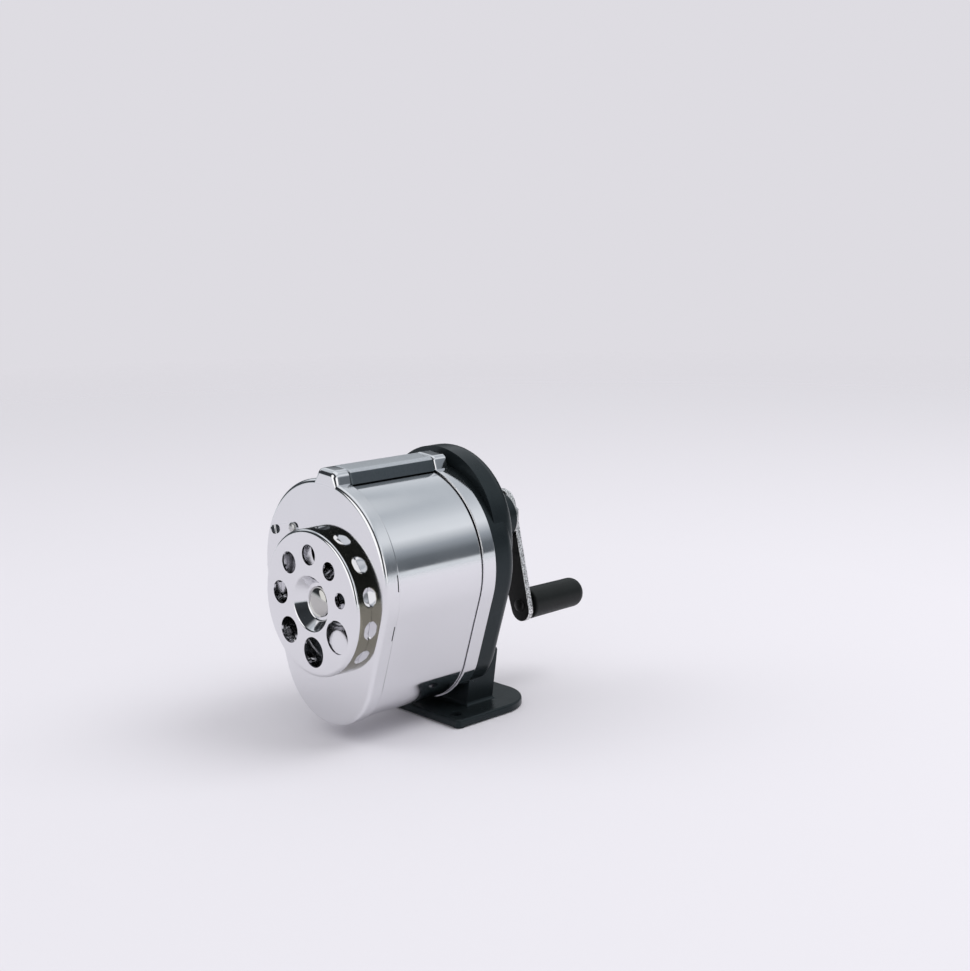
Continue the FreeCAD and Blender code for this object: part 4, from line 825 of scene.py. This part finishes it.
# Crank
class SHARPENER_OT_crank(bpy.types.Operator):
    """Build the crank arm, the knob's pin, the knob, the nut and the end of the shaft"""

    bl_idname = "sharpener.crank"
    bl_label = "Crank"

    def execute(self, context):
        sizes = context.scene.sharpener_crank
        self.build_arm(sizes)
        self.build_pin(sizes)
        self.build_knob(sizes)
        self.build_nut(sizes)
        return {"FINISHED"}

    def build_arm(self, sizes):
        """Sheared arm with black faces and bare edges; its round end reaches past the shaft by the heel."""
        radius = hypot(KNOB.x, AXIS_Z - KNOB.z)
        hang = atan2(KNOB.x, AXIS_Z - KNOB.z)
        depth = sizes.arm_thickness
        profile = rounded_side(0, depth, sizes.arm_edge, FINE_EDGE_STEPS)
        arm = bmesh.new()
        carry_round(arm, profile, sizes.arm_eye, sizes.arm_tip, radius + sizes.arm_heel + sizes.arm_toe)
        bmesh.ops.translate(arm, verts=arm.verts, vec=(0, 0, sizes.arm_heel))
        rims = {y: open_edges(arm, y) for y in (0, depth)}
        for height, hole in ((0, sizes.shaft_hole), (-radius, sizes.pin_hole)):
            rings = {y: add_ring(arm, Vector((0, y, height)), hole) for y in rims}
            bmesh.ops.bridge_loops(arm, edges=rings[0] + rings[depth])
            for y in rims:
                rims[y] += rings[y]
        for y in rims:
            fill_flat(arm, rims[y])
        face_outwards(arm)
        for face in arm.faces:
            face.material_index = 0 if abs(face.normal.y) > FACE_TURN else 1
        place = Matrix.Translation((0, KNOB.y - depth, AXIS_Z)) @ Matrix.Rotation(-hang, 4, "Y")
        add_piece(arm, "sheared_arm", "crank", "crank_arm", ["arm_black", "bare_edge"], place)

    def build_pin(self, sizes):
        """Knob pin with a domed riveted head in front of the arm."""
        head = -sizes.arm_thickness
        profile = dome(sizes.pin_head, head, sizes.pin_dome) + [
            (sizes.pin_radius, head), (sizes.pin_radius, 0), (sizes.pin_collar, 0),
            (sizes.pin_collar, sizes.pin_collar_height), (sizes.pin_radius, sizes.pin_collar_height),
            (sizes.pin_radius, sizes.pin_length), (0, sizes.pin_length)]
        add_turned(profile, "riveted_pin", "crank", "knob_pin", ["arm_black"], Matrix.Translation(KNOB))

    def build_knob(self, sizes):
        """Tapered knob with a rounded end."""
        front = sizes.pin_collar_height + sizes.knob_gap
        end = front + sizes.knob_length
        bore = sizes.pin_radius + sizes.knob_fit
        depth = sizes.pin_length + sizes.knob_gap
        edge = sizes.knob_edge
        end_round = sizes.knob_round
        profile = [(0, depth), (bore, depth), (bore, front)]
        profile += arc_corners(sizes.knob_root - edge, front + edge, edge, -pi / 2, 0, EDGE_STEPS)
        swell = sizes.knob_swell
        profile.append((swell, front + sizes.knob_taper))
        profile += arc_corners(swell - end_round, end - end_round, end_round, 0, pi / 2, KNOB_END_STEPS)
        profile.append((0, end))
        place = Matrix.Translation(KNOB)
        add_turned(profile, "turning_knob", "knob", "crank_knob", ["knob_black"], place, KNOB_STEPS)

    def build_nut(self, sizes):
        """Low six-sided nut, and the shaft shown with its end just beyond it."""
        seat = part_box("crank_washer")[1].y
        turned = Matrix.Translation((0, seat, AXIS_Z)) @ Matrix.Rotation(-pi / 2, 4, "X")
        nut = bmesh.new()
        bmesh.ops.create_circle(nut, cap_ends=True, segments=NUT_SIDES, radius=sizes.nut_radius)
        raise_block(nut, nut.faces[:], (0, 0, sizes.nut_height))
        round_off(nut, nut.edges[:], sizes.nut_edge, FINE_EDGE_STEPS)
        add_piece(nut, "low_nut", "crank", "crank_nut", ["fastener_steel"], turned)

        end = seat + sizes.nut_height + sizes.shaft_end
        shaft = bmesh.new()
        shaft.from_mesh(frame["nodes"]["drive_shaft"].data)
        bmesh.ops.remove_doubles(shaft, verts=shaft.verts, dist=2 * WELD)
        whole = shaft.verts[:] + shaft.edges[:] + shaft.faces[:]
        bmesh.ops.bisect_plane(shaft, geom=whole, plane_co=(0, end, 0), plane_no=ALONG_Y, clear_outer=True)
        fill_flat(shaft, open_edges(shaft, end))
        face_outwards(shaft)
        for face in shaft.faces:
            face.material_index = 0
        add_piece(shaft, "turned_shaft", "crank", "drive_shaft", ["gear_steel"])


# Works: nodes that are shown as copies, and their bodies
SMOOTH_WORKS = {
    "dial_spacer": "receptacle", "dial_washer": "receptacle", "pencil_guide": "receptacle",
    "shaft_bush": "stand", "thrust_washer": "crank", "crank_washer": "crank",
    "cutter_carrier": "crank", "cutter_pins": "crank",
}


class SHARPENER_OT_works(bpy.types.Operator):
    """Finish the cutters, gears, carrier and small pieces"""

    bl_idname = "sharpener.works"
    bl_label = "Works"

    def execute(self, context):
        slots = {part["node"]: part["material_slot"] for part in frame["record"]["subparts"]}
        for node, shown in frame["nodes"].items():
            if shown.hide_render:
                continue
            if node in SMOOTH_WORKS:
                smooth_copy(node, "smooth_" + node, SMOOTH_WORKS[node], slots[node])
                continue
            shown.data.materials.clear()
            shown.data.materials.append(finish_of(slots[node]))
        return {"FINISHED"}


# Stage: the camera's place is to the right of the crank axis, ahead of the face and above the floor
CAMERA_ASIDE = 0.4237
CAMERA_AHEAD = 0.3171
CAMERA_HEIGHT = 0.1891
CAMERA_AZIMUTH = radians(46.82)
CAMERA_ELEVATION = radians(10.32)
CAMERA_ROLL = radians(-0.91)
CAMERA_FOCUS = 1503.0 / 970
SENSOR = 36.0

FLOOR_RADIUS = 1.6
# Distances from the middle between which the floor fades out
FLOOR_FADE = (0.3, 1.5)
# Name, place, width and power of each lamp, and where they point
LAMPS = (("key_lamp", Vector((0.6, 0.6, 1.2)), 0.9, 9.0), ("fill_lamp", Vector((-0.7, -0.8, 0.9)), 0.8, 3.0))
LAMP_AIM = Vector((0, 0, 0.05))
# Even light of the studio on dull surfaces
EVEN_LIGHT = (0.78, 0.78, 0.79)

# Greys of the studio as the metal mirrors it, by the sine of the elevation: behind the drum, behind it on
# the left, and in front of the dial
BEHIND = ((-1.0, 0.84), (0.02, 0.84), (0.035, 0.12), (0.2, 0.17), (0.34, 0.40), (0.5, 0.90), (0.62, 0.82),
          (0.76, 0.56), (0.84, 0.95))
FAR_LEFT = ((-1.0, 0.84), (-0.05, 0.84), (0.0, 0.06), (0.28, 0.08), (0.42, 0.80), (0.62, 0.82), (0.76, 0.56),
            (0.84, 0.95))
AHEAD = ((-1.0, 0.82), (-0.06, 0.82), (0.04, 0.05), (0.5, 0.03), (0.92, 0.04), (1.0, 0.3))
# Blue tint of the greys: a little on all, and more the darker a grey is
LEAST_BLUE = 0.03
DARK_BLUE = 0.1
# Where one part of the studio turns into the next: along Y from back to front, along X from right to left
FRONT_EDGE = (-0.2, -0.4)
LEFT_EDGE = (0.3, 0.05)
# Bright cards in front of the dial and on its right, as a way and the half angles where a card fades out
CARDS = ((Vector((-0.1, -0.95, 0.28)), 30, 26), (Vector((0.96, -0.2, 0.2)), 18, 13))
CARD_GREY = 1.3


class SHARPENER_OT_stage(bpy.types.Operator):
    """Set the floor, the studio light and the camera"""

    bl_idname = "sharpener.stage"
    bl_label = "Stage"

    def execute(self, context):
        colours = context.scene.sharpener_finishes
        context.scene.view_settings.view_transform = "Standard"
        self.add_floor(colours)
        self.add_world(colours)
        self.add_lamps()
        self.add_camera()
        return {"FINISHED"}

    def add_floor(self, colours):
        """Pale round floor that fades into the backdrop."""
        bm = bmesh.new()
        bmesh.ops.create_circle(bm, cap_ends=True, segments=FLOOR_STEPS, radius=FLOOR_RADIUS)
        mesh = mesh_of(bm, "floor")
        floor = add_object("floor", mesh)
        material = new_material("pale_floor")
        coords = add_node(material, "ShaderNodeTexCoord").outputs["Object"]
        far = add_node(material, "ShaderNodeVectorMath", {0: coords}, operation="LENGTH").outputs["Value"]
        fade = spread_values(material, far, 1, 0, FLOOR_FADE)
        set_shader(material, {"Base Color": (*colours.paper, 1), "Roughness": 0.9, "Specular IOR Level": 0,
                              "Alpha": fade})
        mesh.materials.append(material)

    def add_world(self, colours):
        """Studio seen in the metal: pale below, bright far side, dark near side with bright cards."""
        world = bpy.data.worlds.new("studio")
        bpy.context.scene.world = world
        world.use_nodes = True
        world.node_tree.nodes.clear()
        way = add_node(world, "ShaderNodeTexCoord").outputs["Generated"]
        parts = add_node(world, "ShaderNodeSeparateXYZ", {0: way}).outputs
        height = spread_values(world, parts["Z"], 0, 1, (-1, 1))
        near = spread_values(world, parts["Y"], 0, 1, FRONT_EDGE, "SMOOTHSTEP")
        left = spread_values(world, parts["X"], 0, 1, LEFT_EDGE, "SMOOTHSTEP")
        behind = mixed(world, left, self.greys(world, height, BEHIND), self.greys(world, height, FAR_LEFT))
        seen = mixed(world, near, behind, self.greys(world, height, AHEAD))
        for card, outer, inner in CARDS:
            ways = {0: way, 1: card.normalized()}
            toward = add_node(world, "ShaderNodeVectorMath", ways, operation="DOT_PRODUCT").outputs["Value"]
            edge = (cos(radians(outer)), cos(radians(inner)))
            on_card = spread_values(world, toward, 0, 1, edge, "SMOOTHSTEP")
            seen = mixed(world, on_card, seen, (CARD_GREY, CARD_GREY, CARD_GREY, 1))

        path = add_node(world, "ShaderNodeLightPath").outputs
        rays = {0: path["Is Glossy Ray"], 1: path["Is Transmission Ray"]}
        mirrored = add_node(world, "ShaderNodeMath", rays, operation="MAXIMUM").outputs[0]
        light = self.background(world, (*EVEN_LIGHT, 1))
        light = self.either(world, mirrored, light, self.background(world, seen))
        backdrop = self.background(world, (*colours.paper, 1))
        light = self.either(world, path["Is Camera Ray"], light, backdrop)
        add_node(world, "ShaderNodeOutputWorld", {"Surface": light})

    def greys(self, world, height, stops):
        """Ramp of greys by the sine of the elevation."""
        ramp = add_node(world, "ShaderNodeValToRGB", {"Fac": height})
        elements = ramp.color_ramp.elements
        while len(elements) < len(stops):
            elements.new(0.5)
        for element, (sine, grey) in zip(elements, stops):
            element.position = (sine + 1) / 2
            blue = LEAST_BLUE + DARK_BLUE * (1 - grey)
            element.color = (grey * (1 - blue), grey, grey * (1 + blue), 1)
        return ramp.outputs["Color"]

    def either(self, world, factor, first, second):
        """One light or another, by a factor."""
        return add_node(world, "ShaderNodeMixShader", {0: factor, 1: first, 2: second}).outputs[0]

    def background(self, world, colour):
        """Light of a colour, which is a socket or a value."""
        return add_node(world, "ShaderNodeBackground", {"Color": colour}).outputs[0]

    def add_lamps(self):
        """Two soft lamps: a key from behind on the right and a fill from the front left."""
        for name, place, width, power in LAMPS:
            light = bpy.data.lights.new(name, "AREA")
            light.energy = power
            light.size = width
            lamp = add_object(name, light)
            lamp.location = place
            lamp.rotation_euler = (place - LAMP_AIM).to_track_quat("Z", "Y").to_euler()
            lamp.visible_glossy = False

    def add_camera(self):
        """Camera at the photograph's place and angle."""
        data = bpy.data.cameras.new("camera")
        data.sensor_fit = "HORIZONTAL"
        data.sensor_width = SENSOR
        data.lens = SENSOR * CAMERA_FOCUS
        data.clip_start = 0.01
        camera = add_object("camera", data)
        flat = cos(CAMERA_ELEVATION)
        back = Vector((sin(CAMERA_AZIMUTH) * flat, -cos(CAMERA_AZIMUTH) * flat, sin(CAMERA_ELEVATION)))
        turn = back.to_track_quat("Z", "Y").to_matrix().to_4x4() @ Matrix.Rotation(CAMERA_ROLL, 4, "Z")
        place = Vector((CAMERA_ASIDE, FACE_Y - CAMERA_AHEAD, CAMERA_HEIGHT))
        camera.matrix_world = Matrix.Translation(place) @ turn
        bpy.context.scene.camera = camera


OPERATORS = (SHARPENER_OT_drum, SHARPENER_OT_dial, SHARPENER_OT_stand, SHARPENER_OT_crank, SHARPENER_OT_works,
             SHARPENER_OT_stage)
GROUPS = {"sharpener_drum": DrumSizes, "sharpener_dial": DialSizes, "sharpener_crank": CrankSizes,
          "sharpener_finishes": Finishes}


class SHARPENER_PT_panel(bpy.types.Panel):
    """List the builders in the sidebar"""

    bl_idname = "SHARPENER_PT_panel"
    bl_label = "Pencil Sharpener"
    bl_space_type = "VIEW_3D"
    bl_region_type = "UI"
    bl_category = "Sharpener"

    def draw(self, context):
        for operator in OPERATORS:
            self.layout.operator(operator.bl_idname)
        for attribute in GROUPS:
            box = self.layout.box()
            for name in GROUPS[attribute].__annotations__:
                box.prop(getattr(context.scene, attribute), name)


def register():
    """Register the property groups, operators and panel."""
    for attribute, group in GROUPS.items():
        bpy.utils.register_class(group)
        setattr(bpy.types.Scene, attribute, PointerProperty(type=group))
    for cls in (*OPERATORS, SHARPENER_PT_panel):
        bpy.utils.register_class(cls)


def unregister():
    """Take them out again."""
    for cls in (SHARPENER_PT_panel, *reversed(OPERATORS)):
        bpy.utils.unregister_class(cls)
    for attribute, group in reversed(GROUPS.items()):
        delattr(bpy.types.Scene, attribute)
        bpy.utils.unregister_class(group)


def main():
    """Build every piece and the stage."""
    register()
    bpy.ops.sharpener.drum()
    bpy.ops.sharpener.dial()
    bpy.ops.sharpener.stand()
    bpy.ops.sharpener.crank()
    bpy.ops.sharpener.works()
    bpy.ops.sharpener.stage()


if __name__ == "__main__":
    main()
